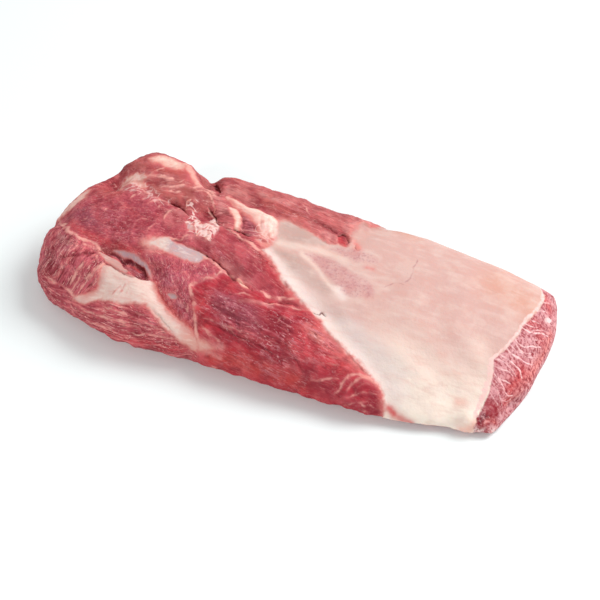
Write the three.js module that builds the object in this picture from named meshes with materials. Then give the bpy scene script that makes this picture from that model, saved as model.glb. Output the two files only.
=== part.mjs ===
// A whole oyster blade of beef, raw and boneless, lying on its flat side.
// The thick end is at -X, where several muscles meet, and the thin end at +X is a slanting knife cut.
// Units are millimetres, +Z is up, +Y is the back, and the origin is at the middle of the underside.
import * as THREE from "three";
import { mergeVertices } from "three/addons/utils/BufferGeometryUtils.js";

// Driving dimensions along the length.
const NOSE_X = -153; // where the rounding of the thick end begins
const NOSE_LENGTH = 40;
const CUT_X = 162; // where the sections end, near the top edge of the cut

// Cross sections along the length: the front and back edges seen from above,
// and the height of the top at the front edge, the middle and the back edge.
const STATIONS = [
  { x: -193, front: -58, back: 20, frontTop: 36, middleTop: 47, backTop: 50 },
  { x: -160, front: -67, back: 51, frontTop: 41, middleTop: 55, backTop: 55 },
  { x: -150, front: -70, back: 64, frontTop: 42, middleTop: 56, backTop: 61 },
  { x: -138, front: -74, back: 71, frontTop: 43, middleTop: 57, backTop: 67 },
  { x: -126, front: -78, back: 70, frontTop: 43, middleTop: 58, backTop: 65 },
  { x: -112, front: -81, back: 66, frontTop: 43, middleTop: 58, backTop: 62 },
  { x: -98, front: -82, back: 64, frontTop: 43, middleTop: 58, backTop: 57 },
  { x: -84, front: -82, back: 70, frontTop: 43, middleTop: 57, backTop: 59 },
  { x: -60, front: -81, back: 72, frontTop: 42, middleTop: 56, backTop: 58 },
  { x: -23, front: -81, back: 72, frontTop: 39, middleTop: 54, backTop: 53 },
  { x: 47, front: -81, back: 75, frontTop: 31, middleTop: 47, backTop: 46 },
  { x: 100, front: -76, back: 72, frontTop: 22, middleTop: 42, backTop: 41 },
  { x: 138, front: -67, back: 67, frontTop: 17, middleTop: 38, backTop: 36 },
  { x: 162, front: -63, back: 62, frontTop: 16, middleTop: 36, backTop: 31 },
];

// How square the long edges are at the front and the back, and the thick end seen from above.
const FRONT_POWER = 2.6;
const BACK_POWER = 4.6;
const NOSE_POWER = 2.6;

// The widest level as a share of the height, and how far the underside is pressed flat.
const WIDEST_SHARE = 0.36;
const FLAT_PRESS = 1.08;

// The knife cut at the thin end, from the front edge to the back edge: how far along its top edge
// and its foot lie, and the turn of the foot under itself.
const CUT_EDGES = [
  { across: -1, top: 142, foot: 162 },
  { across: -0.7, top: 150, foot: 168 },
  { across: -0.3, top: 151, foot: 175 },
  { across: 0.05, top: 158, foot: 177 },
  { across: 0.4, top: 161.5, foot: 179 },
  { across: 0.7, top: 164.5, foot: 178 },
  { across: 1, top: 164, foot: 174 },
];
const CUT_CURL = 1.9;
const CUT_FADE = 4; // power by which the cut fades into the body

// Grooves where two muscles meet: a line seen from above, with its depth and half width.
const GROOVES = [
  { name: "notch in the back edge", depth: 5, half: 4, line: [[-95, 84], [-92, 52]] },
  { name: "run-out of the notch", depth: 4, half: 6, line: [[-92, 52], [-83, 32], [-80, 18]] },
  { name: "foot of the peak", depth: 3.5, half: 5, line: [[-153, 36], [-127, 29], [-95, 19], [-69, 15]] },
  { name: "seam over the front", depth: 4, half: 6, line: [[-76, -17], [-38, -27], [-11, -34], [36, -35]] },
  { name: "seam at the thick end", depth: 3, half: 5, line: [[-184, -12], [-158, -29], [-131, -35]] },
  { name: "open slit", depth: 8, half: 5.5, line: [[-130, -36], [-117, -39], [-93, -46]] },
  { name: "tendon down the front", depth: 3.5, half: 7, line: [[-88, -54], [-66, -66], [-42, -77]] },
  { name: "foot of the end muscle", depth: 4, half: 5, line: [[-190, -38], [-160, -57], [-122, -65]] },
  { name: "fat cover edge", depth: 2, half: 6, line: [[-22, 2], [0, -15], [49, -45], [80, -59], [95, -76]] },
  { name: "foot of the back strip", depth: 2.5, half: 6, line: [[-56, 43], [-26, 34], [27, 41], [44, 76]] },
];

// Muscles and fat pads that stand out: the middle seen from above, the reach both ways and the rise.
const SWELLS = [
  { name: "back-left muscle", at: [-118, 56], reach: [34, 18], rise: 3 },
  { name: "end muscle", at: [-160, -42], reach: [22, 18], rise: 4 },
  { name: "front muscle", at: [2, -58], reach: [48, 20], rise: 5 },
  { name: "lower left muscle", at: [-112, -76], reach: [34, 9], rise: 3 },
  { name: "middle strip", at: [-42, -6], reach: [30, 15], rise: 3 },
  { name: "white fat pad", at: [-39, 28], reach: [15, 10], rise: 3 },
  { name: "back strip", at: [-30, 58], reach: [42, 14], rise: 2.5 },
  { name: "fat cover by the cut", at: [105, 6], reach: [45, 42], rise: 2 },
];

// Slow unevenness of soft meat: its rise, its wave along the top and its wave down the sides.
const WOBBLE_RISE = 0.7;
const WOBBLE_LENGTH = 9;
const WOBBLE_HEIGHT = 7;
const BEND_LENGTH = 18;

// Relief is full where the surface faces up and gone where it faces down, between these slopes.
const RELIEF_NONE = -0.3;
const RELIEF_FULL = 0.4;

// Grid of the solid along the length, the width and the height.
const CELLS = { long: 72, wide: 26, high: 9 };

const SECTION_SIZES = ["front", "back", "frontTop", "middleTop", "backTop"];
const stationProfile = new THREE.CubicInterpolant(
  STATIONS.map((station) => station.x),
  STATIONS.flatMap((station) => SECTION_SIZES.map((size) => station[size])),
  SECTION_SIZES.length,
);

function sectionAt(x) {
  const [front, back, frontTop, middleTop, backTop] = stationProfile.evaluate(x);
  return { middle: (front + back) / 2, half: (back - front) / 2, frontTop, middleTop, backTop };
}

function topHeight(section, across) {
  const edge = across < 0 ? section.frontTop : section.backTop;
  return section.middleTop + (edge - section.middleTop) * across * across;
}

// Rounds a point of the unit box: the long edges by a power for each side, the thick end by its own.
function roundedBox(nose, across, up) {
  const reach = Math.max(nose, Math.abs(across), Math.abs(up));
  const power = across < 0 ? FRONT_POWER : BACK_POWER;
  const section = (Math.abs(across / reach) ** power + Math.abs(up / reach) ** power) ** (1 / power);
  const size = ((nose / reach) ** NOSE_POWER + section ** NOSE_POWER) ** (1 / NOSE_POWER);
  return { nose: nose / size, across: across / size, up: up / size };
}

const NOSE_SHARE = NOSE_LENGTH / (NOSE_LENGTH + CUT_X - NOSE_X);

const cutProfile = new THREE.CubicInterpolant(
  CUT_EDGES.map((edge) => edge.across),
  CUT_EDGES.flatMap((edge) => [edge.top, edge.foot]),
  2,
);

// How far a point near the thin end is moved along to follow the cut.
function cutReach(body, across, drop) {
  const [top, foot] = cutProfile.evaluate(across);
  return body ** CUT_FADE * (top - CUT_X + (foot - top) * Math.sin(CUT_CURL * drop));
}

// Moves a point of the unit box, each side from -1 to 1, to the surface of the meat before its relief.
function meatPoint(box) {
  const along = (box.x + 1) / 2;
  const nose = Math.max(0, 1 - along / NOSE_SHARE);
  const body = Math.max(0, (along - NOSE_SHARE) / (1 - NOSE_SHARE));
  const shape = roundedBox(nose, box.y, box.z);
  const x = NOSE_X - NOSE_LENGTH * shape.nose + (CUT_X - NOSE_X) * body;
  const section = sectionAt(x);
  const top = topHeight(section, shape.across);
  const widest = WIDEST_SHARE * top;
  const above = widest + (top - widest) * shape.up;
  const below = Math.max(0, widest * (1 + FLAT_PRESS * shape.up));
  const z = shape.up > 0 ? above : below;
  const y = section.middle + section.half * shape.across;
  return new THREE.Vector3(x + cutReach(body, shape.across, 1 - z / top), y, z);
}

const grooveRuns = GROOVES.map(({ depth, half, line }) => {
  const points = line.map(([x, y]) => new THREE.Vector3(x, y, 0));
  const runs = points.slice(1).map((end, i) => new THREE.Line3(points[i], end));
  return { depth, half, runs };
});

function grooveDepth(x, y) {
  const here = new THREE.Vector3(x, y, 0);
  const nearest = new THREE.Vector3();
  let total = 0;
  for (const { depth, half, runs } of grooveRuns) {
    const distances = runs.map((run) => run.closestPointToPoint(here, true, nearest).distanceTo(here));
    total += depth * Math.exp(-((Math.min(...distances) / half) ** 2));
  }
  return total;
}

function swellRise(x, y) {
  let total = 0;
  for (const { at, reach, rise } of SWELLS) {
    total += rise * Math.exp(-(((x - at[0]) / reach[0]) ** 2) - ((y - at[1]) / reach[1]) ** 2);
  }
  return total;
}

function wobble({ x, y, z }) {
  const bend = Math.sin(x / BEND_LENGTH) + Math.sin((y + z) / BEND_LENGTH);
  const alongWave = Math.sin(x / WOBBLE_LENGTH + bend);
  const acrossWave = Math.cos(y / WOBBLE_LENGTH + z / WOBBLE_HEIGHT + bend);
  return WOBBLE_RISE * alongWave * acrossWave;
}

function addRelief(geometry) {
  geometry.computeVertexNormals();
  const position = geometry.getAttribute("position");
  const normals = geometry.getAttribute("normal");
  const point = new THREE.Vector3();
  const normal = new THREE.Vector3();
  for (let i = 0; i < position.count; i += 1) {
    point.fromBufferAttribute(position, i);
    normal.fromBufferAttribute(normals, i);
    const facing = THREE.MathUtils.smoothstep(normal.z, RELIEF_NONE, RELIEF_FULL);
    const rise = swellRise(point.x, point.y) - grooveDepth(point.x, point.y) + wobble(point);
    point.addScaledVector(normal, facing * rise);
    position.setXYZ(i, point.x, point.y, point.z);
  }
}

function meatGeometry() {
  const box = new THREE.BoxGeometry(2, 2, 2, CELLS.long, CELLS.wide, CELLS.high);
  box.deleteAttribute("normal");
  box.deleteAttribute("uv");
  const geometry = mergeVertices(box);
  const position = geometry.getAttribute("position");
  const point = new THREE.Vector3();
  for (let i = 0; i < position.count; i += 1) {
    const moved = meatPoint(point.fromBufferAttribute(position, i));
    position.setXYZ(i, moved.x, moved.y, moved.z);
  }
  addRelief(geometry);
  geometry.computeBoundingBox();
  const centre = geometry.boundingBox.getCenter(new THREE.Vector3());
  geometry.translate(-centre.x, -centre.y, -geometry.boundingBox.min.z);
  geometry.computeVertexNormals();
  return geometry;
}

const rawBeef = new THREE.MeshStandardMaterial({ color: 0xb4474c, roughness: 0.45, metalness: 0 });
const blade = new THREE.Mesh(meatGeometry(), rawBeef);
blade.name = "blade";

const part = new THREE.Group();
part.add(blade);

export default part;
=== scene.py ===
import math

import bmesh
import bpy
import numpy as np
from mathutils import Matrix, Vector, noise
from mathutils.bvhtree import BVHTree
from mathutils.kdtree import KDTree


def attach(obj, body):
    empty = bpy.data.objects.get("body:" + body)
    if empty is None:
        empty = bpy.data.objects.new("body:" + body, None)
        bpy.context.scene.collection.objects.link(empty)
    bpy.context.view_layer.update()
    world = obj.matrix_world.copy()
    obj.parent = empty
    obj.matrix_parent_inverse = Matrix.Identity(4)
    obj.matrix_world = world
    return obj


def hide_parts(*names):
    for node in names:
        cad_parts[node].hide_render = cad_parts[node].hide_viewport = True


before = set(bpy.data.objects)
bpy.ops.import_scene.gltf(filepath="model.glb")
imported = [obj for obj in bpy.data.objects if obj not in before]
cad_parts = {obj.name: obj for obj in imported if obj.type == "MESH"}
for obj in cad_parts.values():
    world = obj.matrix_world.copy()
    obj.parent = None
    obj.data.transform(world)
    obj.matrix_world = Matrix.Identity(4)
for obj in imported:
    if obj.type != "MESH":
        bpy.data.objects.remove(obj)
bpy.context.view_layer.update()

scene = bpy.context.scene

# The view: the joint is seen from the front and a little from its cut end, from well above,
# through a long lens that keeps its two long edges almost parallel.
VIEW_AZIMUTH = math.radians(21.0)
VIEW_ELEVATION = math.radians(46.0)
VIEW_DISTANCE = 1.3
VIEW_TARGET = Vector((0.0076, 0.0016, 0.017))
VIEW_LENS = 109.0
VIEW_SENSOR = 36.0
PHOTO_SIDE = 600

view_back = Vector((
    math.sin(VIEW_AZIMUTH) * math.cos(VIEW_ELEVATION),
    -math.cos(VIEW_AZIMUTH) * math.cos(VIEW_ELEVATION),
    math.sin(VIEW_ELEVATION),
))
view_right = Vector((math.cos(VIEW_AZIMUTH), math.sin(VIEW_AZIMUTH), 0.0))
view_up = view_back.cross(view_right)
view_eye = VIEW_TARGET + view_back * VIEW_DISTANCE
view_focal = VIEW_LENS / VIEW_SENSOR * PHOTO_SIDE

camera_data = bpy.data.cameras.new("camera")
camera_data.lens = VIEW_LENS
camera_data.sensor_width = VIEW_SENSOR
camera = bpy.data.objects.new("camera", camera_data)
camera.location = view_eye
camera.rotation_euler = view_back.to_track_quat("Z", "Y").to_euler()
scene.collection.objects.link(camera)
scene.camera = camera
scene.view_settings.view_transform = "Standard"

# The studio: the meat lies on a sweep of matt white board. A large softbox above the thin end and a little
# behind throws a soft shadow to the front, a small lamp in front gives the moist gloss, and the white
# room round it fills the shadows.
FLOOR_SIDE = 6.0
FLOOR_COLOUR = (0.845, 0.9, 0.9, 1)
FLOOR_GLOW = 0.06
FLOOR_ROUGHNESS = 0.9
SOFTBOX_SIZE = 1.1
SOFTBOX_POWER = 26.0
SOFTBOX_PLACE = Vector((0.85, 0.7, 1.15))
LAMP_SIZE = 0.2
LAMP_POWER = 6.5
LAMP_PLACE = Vector((-0.5, -1.1, 1.0))
ROOM_STRENGTH = 0.43
PLAIN_WHITE = (1, 1, 1, 1)

floor_mesh = bpy.data.meshes.new("floor")
half_floor = FLOOR_SIDE / 2
floor_corners = [(-1, -1), (1, -1), (1, 1), (-1, 1)]
floor_mesh.from_pydata([(x * half_floor, y * half_floor, 0) for x, y in floor_corners], [], [(0, 1, 2, 3)])
floor_paint = bpy.data.materials.new("white_board")
floor_paint.use_nodes = True
floor_shader = floor_paint.node_tree.nodes["Principled BSDF"]
floor_shader.inputs["Base Color"].default_value = FLOOR_COLOUR
floor_shader.inputs["Emission Color"].default_value = PLAIN_WHITE
floor_shader.inputs["Emission Strength"].default_value = FLOOR_GLOW
floor_shader.inputs["Roughness"].default_value = FLOOR_ROUGHNESS
floor_shader.inputs["Specular IOR Level"].default_value = 0.0
floor_mesh.materials.append(floor_paint)
floor = bpy.data.objects.new("floor", floor_mesh)
scene.collection.objects.link(floor)


def soft_light(name, size, power, place):
    light = bpy.data.lights.new(name, "AREA")
    light.shape = "SQUARE"
    light.size = size
    light.energy = power
    box = bpy.data.objects.new(name, light)
    box.location = place
    box.rotation_euler = place.to_track_quat("Z", "Y").to_euler()
    scene.collection.objects.link(box)


soft_light("softbox", SOFTBOX_SIZE, SOFTBOX_POWER, SOFTBOX_PLACE)
soft_light("lamp", LAMP_SIZE, LAMP_POWER, LAMP_PLACE)

room = bpy.data.worlds.new("room")
room.use_nodes = True
room_light = room.node_tree.nodes["Background"]
room_light.inputs["Color"].default_value = PLAIN_WHITE
room_light.inputs["Strength"].default_value = ROOM_STRENGTH
scene.world = room

# The body: one soft boneless block of beef that has settled flat on its underside. The solid's facets are
# joined to quads and rounded off, and only the rim that the knife left at the thin end stays sharp.
MM = 1000.0
CUT_FACING = 0.3
CUT_START = 0.140
CUT_CREASE = 0.85
SKIN_LEVELS = 2
BODY_LEVELS = 1
WELD_DISTANCE = 1e-6

rough_bm = bmesh.new()
rough_bm.from_mesh(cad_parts["blade"].data)
bmesh.ops.remove_doubles(rough_bm, verts=rough_bm.verts, dist=WELD_DISTANCE)
bmesh.ops.join_triangles(
    rough_bm, faces=rough_bm.faces, angle_face_threshold=math.pi, angle_shape_threshold=math.pi
)
rough_bm.normal_update()
for face in rough_bm.faces:
    on_cut = face.normal.x > CUT_FACING and face.calc_center_median().x > CUT_START
    face.material_index = 1 if on_cut else 0
crease = rough_bm.edges.layers.float.new("crease_edge")
for edge in rough_bm.edges:
    if len({face.material_index for face in edge.link_faces}) == 2:
        edge[crease] = CUT_CREASE
rough_mesh = bpy.data.meshes.new("blade_rough")
rough_bm.to_mesh(rough_mesh)
rough_bm.free()
rough_body = bpy.data.objects.new("blade_rough", rough_mesh)
scene.collection.objects.link(rough_body)
rounding = rough_body.modifiers.new("rounding", "SUBSURF")


def rounded_mesh(levels):
    rounding.levels = levels
    bpy.context.view_layer.update()
    return bpy.data.meshes.new_from_object(rough_body.evaluated_get(bpy.context.evaluated_depsgraph_get()))


skin_mesh = rounded_mesh(SKIN_LEVELS)
blade_mesh = rounded_mesh(BODY_LEVELS)
bpy.data.objects.remove(rough_body)
skin_tree = BVHTree.FromPolygons(
    [v.co * MM for v in skin_mesh.vertices], [list(p.vertices) for p in skin_mesh.polygons]
)

# The fat cover: a sheet of firm pale fat over the thin half of the blade, trimmed with a knife. It is thin
# over the windows, where the lean shows through, and faint veins run in it. The lines of this section and of
# the next ones are drawn in the photo's pixels; colours are as seen, 0 to 255.
COVER_OUTLINE = [
    (262, 249), (269, 257), (275, 266), (281, 278), (290, 290), (299, 299), (308, 310), (320, 321),
    (331, 336), (343, 349), (357, 361), (366, 373), (377, 384), (382, 393), (383, 405), (382, 419),
    (384, 450), (470, 470), (560, 440), (600, 330), (580, 250), (480, 215), (400, 200), (384, 224),
    (372, 227), (364, 222), (356, 227), (350, 236), (347, 247), (336, 244), (326, 242), (316, 235),
    (304, 229), (290, 222), (278, 221), (277, 233), (272, 242), (267, 247),
]
COVER = (206, 166, 158)
COVER_GREY = (190, 158, 150)
COVER_MAUVE = (198, 146, 144)
COVER_CREAM = (250, 233, 219)
COVER_WARM = (210, 156, 138)
COVER_WHITE = (236, 218, 212)
COVER_PEACH = (240, 176, 160)
COVER_BLUE_SHEEN = (208, 196, 194)
COVER_SHADE = (178, 118, 110)
COVER_BLOOD = (208, 60, 66)
COVER_NUB = (222, 128, 122)
# Windows have a colour, the softness of the edge in millimetres, an amount and an outline.
COVER_WINDOWS = [
    (COVER_GREY, 2.0, 0.9, [
        (278, 222), (292, 224), (305, 230), (316, 236), (326, 243), (318, 246), (300, 243), (280, 239),
    ]),
    (COVER_GREY, 2.5, 0.9, [
        (272, 249), (288, 253), (300, 257), (310, 266), (320, 278), (334, 293), (324, 295), (310, 289),
        (296, 277), (283, 263),
    ]),
    (COVER_MAUVE, 2.0, 0.9, [
        (306, 254), (325, 257), (338, 263), (348, 271), (362, 277), (371, 286), (374, 296), (362, 298),
        (346, 294), (334, 283), (320, 268),
    ]),
    (COVER_MAUVE, 2.0, 0.8, [
        (330, 248), (345, 248), (360, 251), (372, 256), (379, 262), (368, 264), (352, 260), (340, 255),
    ]),
]
# Tones have a colour, a reach in millimetres, an amount and a line.
COVER_TONES = [
    # The cream over the cover's front is its own colour and also painted light on the front slope, which the
    # softbox leaves in shade.
    (COVER_CREAM, 30, 0.8, [(395, 375), (420, 395), (450, 405)]),
    (COVER_CREAM, 20, 1.0, [(400, 410), (440, 420), (470, 415)]),
    (COVER_WHITE, 10, 0.8, [(288, 282), (305, 300), (325, 320), (350, 345), (375, 372), (395, 395)]),
    # A bluish sheen painted along the cover.
    (COVER_BLUE_SHEEN, 8, 0.45, [(345, 322), (365, 340), (385, 358), (400, 372)]),
    (COVER_WARM, 16, 0.7, [(500, 285), (520, 300), (535, 310)]),
    (COVER_CREAM, 8, 0.3, [(480, 345), (485, 375), (478, 400)]),
    (COVER_CREAM, 3.8, 0.32, [(280, 243), (300, 247), (325, 252), (345, 260)]),
    (COVER_CREAM, 1.8, 0.38, [(302, 254), (315, 266), (325, 280), (337, 292)]),
    (COVER_WHITE, 3.5, 0.7, [(338, 290), (343, 298)]),
    (COVER_WHITE, 4.0, 0.7, [(268, 252), (278, 262), (286, 274), (294, 288)]),
    (COVER_BLOOD, 2.2, 0.5, [(367, 268), (372, 269)]),
    (COVER_BLOOD, 3.0, 0.9, [(389, 408), (394, 414)]),
    (COVER_BLOOD, 2.6, 0.9, [(400, 418), (411, 422)]),
    (COVER_NUB, 3.0, 0.9, [(353, 242), (358, 249)]),
    (COVER_SHADE, 6.0, 0.85, [(350, 227), (362, 224), (378, 226)]),
    (COVER_MAUVE, 1.8, 0.6, [(354, 230), (360, 227), (368, 229)]),
    (COVER_SHADE, 2.0, 0.6, [(380, 227), (396, 232), (414, 236)]),
    (COVER_PEACH, 3.4, 0.6, [(458, 402), (464, 403)]),
    (COVER_PEACH, 3.4, 0.7, [(462, 428), (470, 427), (476, 424)]),
    (COVER_WARM, 6.0, 0.5, [(384, 228), (400, 232), (414, 238)]),
]
# Veins have a strength, a half width in millimetres and a line.
VEINS = [
    (0.9, 0.6, [(418, 260), (415, 266), (413, 272), (409, 280), (405, 283)]),
    (0.8, 0.5, [(384, 288), (392, 284), (400, 284), (408, 286)]),
    (0.7, 0.5, [(405, 283), (412, 285)]),
]

# Tendons and fat pads: firm white tissue that ties the muscles together, stringy at its edges. It lies bare
# where the boning knife has lifted the muscles apart.
WHITE = (228, 198, 188)
LILAC = (186, 162, 166)
TOP_TENDON = (216, 192, 184)
CREAM = (232, 182, 168)
NUB_SALMON = (236, 156, 138)
PAD_FAT = (238, 194, 182)
PINK_FAT = (226, 168, 156)
RIM_FAT = (240, 190, 178)
BEIGE = (196, 150, 144)
TAG_WHITE = (224, 190, 182)
MEMBRANE = (190, 162, 170)
# Patches have a colour, the softness of the edge in millimetres, a firmness, a rise and an outline.
FAT_PATCHES = [
    # The white tendon at the thick end and its leg down the front.
    (WHITE, 4.0, 1.35, 0.6, [
        (103, 265), (112, 268), (122, 273), (134, 278), (150, 281), (153, 291), (148, 304), (136, 302),
        (122, 303), (108, 300), (96, 300), (84, 303), (74, 298), (87, 295), (97, 290), (100, 279),
    ]),
    (WHITE, 4.4, 1.25, 0.5, [
        (140, 284), (153, 284), (157, 296), (164, 306), (173, 316), (183, 325), (193, 334), (198, 342),
        (190, 347), (178, 339), (166, 327), (156, 317), (147, 306), (140, 300),
    ]),
    (PINK_FAT, 3.6, 0.9, 0.4, [
        (188, 331), (198, 337), (210, 344), (214, 349), (202, 353), (190, 353), (186, 344),
    ]),
    # The tendon on the top, white and then thin and bluish.
    (PINK_FAT, 5.0, 0.7, 0.2, [(140, 243), (148, 238), (157, 236), (158, 248), (149, 249)]),
    (TOP_TENDON, 4.6, 1.2, 0.3, [
        (149, 243), (156, 239), (164, 237), (171, 239), (176, 243), (177, 252), (167, 252), (157, 248),
    ]),
    (LILAC, 3.2, 1.2, 0.2, [
        (173, 243), (184, 245), (199, 251), (206, 256), (203, 260), (194, 262), (183, 259), (173, 253),
    ]),
    # The fat pad behind the crack, with a strand before it and a fringe under it.
    (PAD_FAT, 3.4, 1.2, 1.0, [
        (227, 197), (236, 201), (246, 207), (256, 210), (266, 214), (274, 218), (279, 225), (278, 234),
        (272, 239), (264, 239), (259, 233), (257, 225), (250, 218), (242, 212), (234, 206),
    ]),
    (CREAM, 2.2, 1.0, 1.0, [
        (229, 208), (235, 209), (240, 214), (241, 222), (239, 230), (234, 229), (235, 221), (231, 214),
    ]),
    (PINK_FAT, 4.0, 0.5, 0.0, [(254, 236), (264, 240), (278, 237), (277, 247), (268, 250), (259, 244)]),
    # The peak's top, its flank and the flat patch below it.
    (CREAM, 4.4, 0.9, 0.5, [
        (148, 159), (156, 156), (164, 155), (173, 159), (180, 164), (187, 166), (183, 172), (175, 172),
        (167, 169), (159, 164), (152, 163),
    ]),
    (PINK_FAT, 2.6, 0.9, 0.5, [
        (183, 166), (189, 169), (193, 174), (197, 181), (201, 189), (195, 187), (190, 179), (186, 173),
    ]),
    (PINK_FAT, 2.8, 0.8, 0.4, [
        (115, 184), (122, 178), (132, 174), (143, 173), (149, 177), (145, 182), (147, 188), (141, 189),
        (134, 185), (127, 184), (120, 187),
    ]),
    # Crumpled tags at the crack.
    (TAG_WHITE, 2.0, 0.85, 0.4, [
        (186, 224), (189, 220), (193, 222), (197, 220), (201, 225), (203, 229), (200, 234), (197, 231),
        (193, 232), (188, 231),
    ]),
    (TAG_WHITE, 1.6, 0.8, 0.5, [
        (202, 224), (207, 225), (211, 221), (215, 220), (219, 226), (217, 229), (212, 230), (208, 228),
        (204, 229),
    ]),
    (TAG_WHITE, 1.6, 0.7, 0.4, [(201, 233), (205, 231), (211, 231), (212, 235), (208, 240), (204, 237)]),
    # The lips of the open slit, a bluish membrane above and a beige one below.
    (BEIGE, 1.2, 1.0, 0.4, [
        (99, 252), (108, 256), (116, 260), (122, 265), (127, 271), (125, 273), (116, 268), (107, 262),
    ]),
    (MEMBRANE, 2.2, 0.95, 0.3, [
        (113, 251), (122, 250), (130, 252), (138, 256), (145, 262), (150, 271), (152, 279), (148, 275),
        (142, 268), (133, 261), (123, 257),
    ]),
    # Small nubs on the front.
    (NUB_SALMON, 1.2, 1.2, 0.8, [(237, 279), (241, 280), (245, 285), (248, 289), (243, 288), (239, 284)]),
    (LILAC, 1.6, 1.0, 0.3, [(168, 294), (172, 293), (177, 297), (176, 300), (171, 298)]),
]
# Bands run over an edge and out of sight, as on the rim of the thick end: the same values, then the half
# width and the line.
FAT_BANDS = [
    (RIM_FAT, 5.0, 1.1, 0.3, 5.5, [(59, 219), (65, 211), (73, 204), (80, 198), (87, 192)]),
]
# Ridges of the fat painted lighter as highlights, and pinker edges of the fat: colour, reach in millimetres,
# amount and line.
FAT_RIDGE_HIGHLIGHT = (248, 222, 206)
FAT_BLUSH = (206, 122, 116)
FAT_TONES = [
    (FAT_RIDGE_HIGHLIGHT, 2.8, 0.9, [(236, 201), (246, 206), (258, 211), (268, 216), (275, 222)]),
    (FAT_RIDGE_HIGHLIGHT, 2.2, 0.8, [(266, 224), (271, 228), (273, 235)]),
    (FAT_RIDGE_HIGHLIGHT, 1.6, 0.7, [(231, 209), (236, 212), (239, 219), (238, 227)]),
    (FAT_BLUSH, 2.4, 0.9, [(230, 201), (240, 210), (249, 217), (256, 226), (260, 237)]),
    (FAT_BLUSH, 1.4, 0.6, [(262, 222), (265, 230), (269, 238)]),
    (FAT_RIDGE_HIGHLIGHT, 2.0, 0.7, [(158, 158), (168, 161), (177, 166)]),
    (FAT_RIDGE_HIGHLIGHT, 1.8, 0.8, [(127, 178), (136, 177), (144, 178)]),
    (FAT_BLUSH, 3.4, 0.6, [(102, 266), (100, 278), (96, 291), (84, 298)]),
    (FAT_BLUSH, 1.8, 0.6, [(153, 286), (159, 300), (169, 314), (183, 327), (195, 337)]),
    (FAT_BLUSH, 1.8, 0.6, [(188, 351), (200, 353), (212, 350)]),
]
# Streaks of lean that show through the fat: half width and line.
LEAN_SHOWS = 0.55
LEAN_LINES = [
    (1.1, [(127, 283), (122, 290), (118, 297)]),
    (0.9, [(121, 285), (116, 291), (112, 296)]),
    (0.6, [(130, 288), (126, 295)]),
    (0.5, [(196, 340), (198, 347), (197, 352)]),
    (0.5, [(188, 224), (193, 225), (198, 228)]),
    (0.5, [(204, 227), (210, 226), (214, 224)]),
    (0.4, [(194, 223), (195, 228), (194, 232)]),
]

# Tags: curled rags of thin membrane that tore when the muscles were pulled apart and still hang on at the
# crack. Each has a colour, a half width and a rise in millimetres, and a line.
TAGS = [
    (CREAM, 0.4, 0.6, [(187, 207), (187, 203), (191, 201)]),
    (CREAM, 0.3, 0.5, [(193, 202), (197, 204)]),
    (CREAM, 0.3, 0.5, [(186, 209), (192, 210), (195, 212), (198, 209)]),
    (CREAM, 0.3, 0.6, [(187, 212), (188, 216), (191, 218)]),
    (CREAM, 0.4, 0.6, [(194, 218), (198, 220), (202, 225)]),
    (CREAM, 0.4, 0.7, [(209, 212), (212, 216), (216, 222)]),
    (CREAM, 0.3, 0.5, [(214, 207), (216, 211), (214, 215)]),
    (LILAC, 0.5, 0.6, [(187, 230), (189, 225), (193, 222)]),
    (CREAM, 0.4, 0.6, [(204, 238), (208, 240), (210, 238)]),
    (CREAM, 0.4, 0.7, [(196, 232), (197, 236), (199, 233)]),
]
# Thin film crumpled into folds, between the tags, below the peak and on the fat pad's end: the softness of
# its edge in millimetres, an amount and an outline.
CRUMPLES = [
    (1.6, 1.0, [
        (186, 213), (187, 206), (191, 202), (197, 202), (199, 208), (196, 214), (199, 220), (204, 225),
        (210, 220), (214, 217), (219, 225), (217, 231), (213, 236), (208, 241), (203, 238), (198, 235),
        (192, 233), (186, 230), (186, 223), (189, 218),
    ]),
    (2.4, 0.55, [
        (115, 183), (124, 176), (138, 172), (149, 176), (146, 183), (158, 194), (172, 203), (158, 204),
        (142, 196), (126, 190),
    ]),
    (2.4, 0.5, [(258, 222), (270, 221), (280, 226), (279, 238), (270, 243), (258, 240), (254, 230)]),
]
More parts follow.
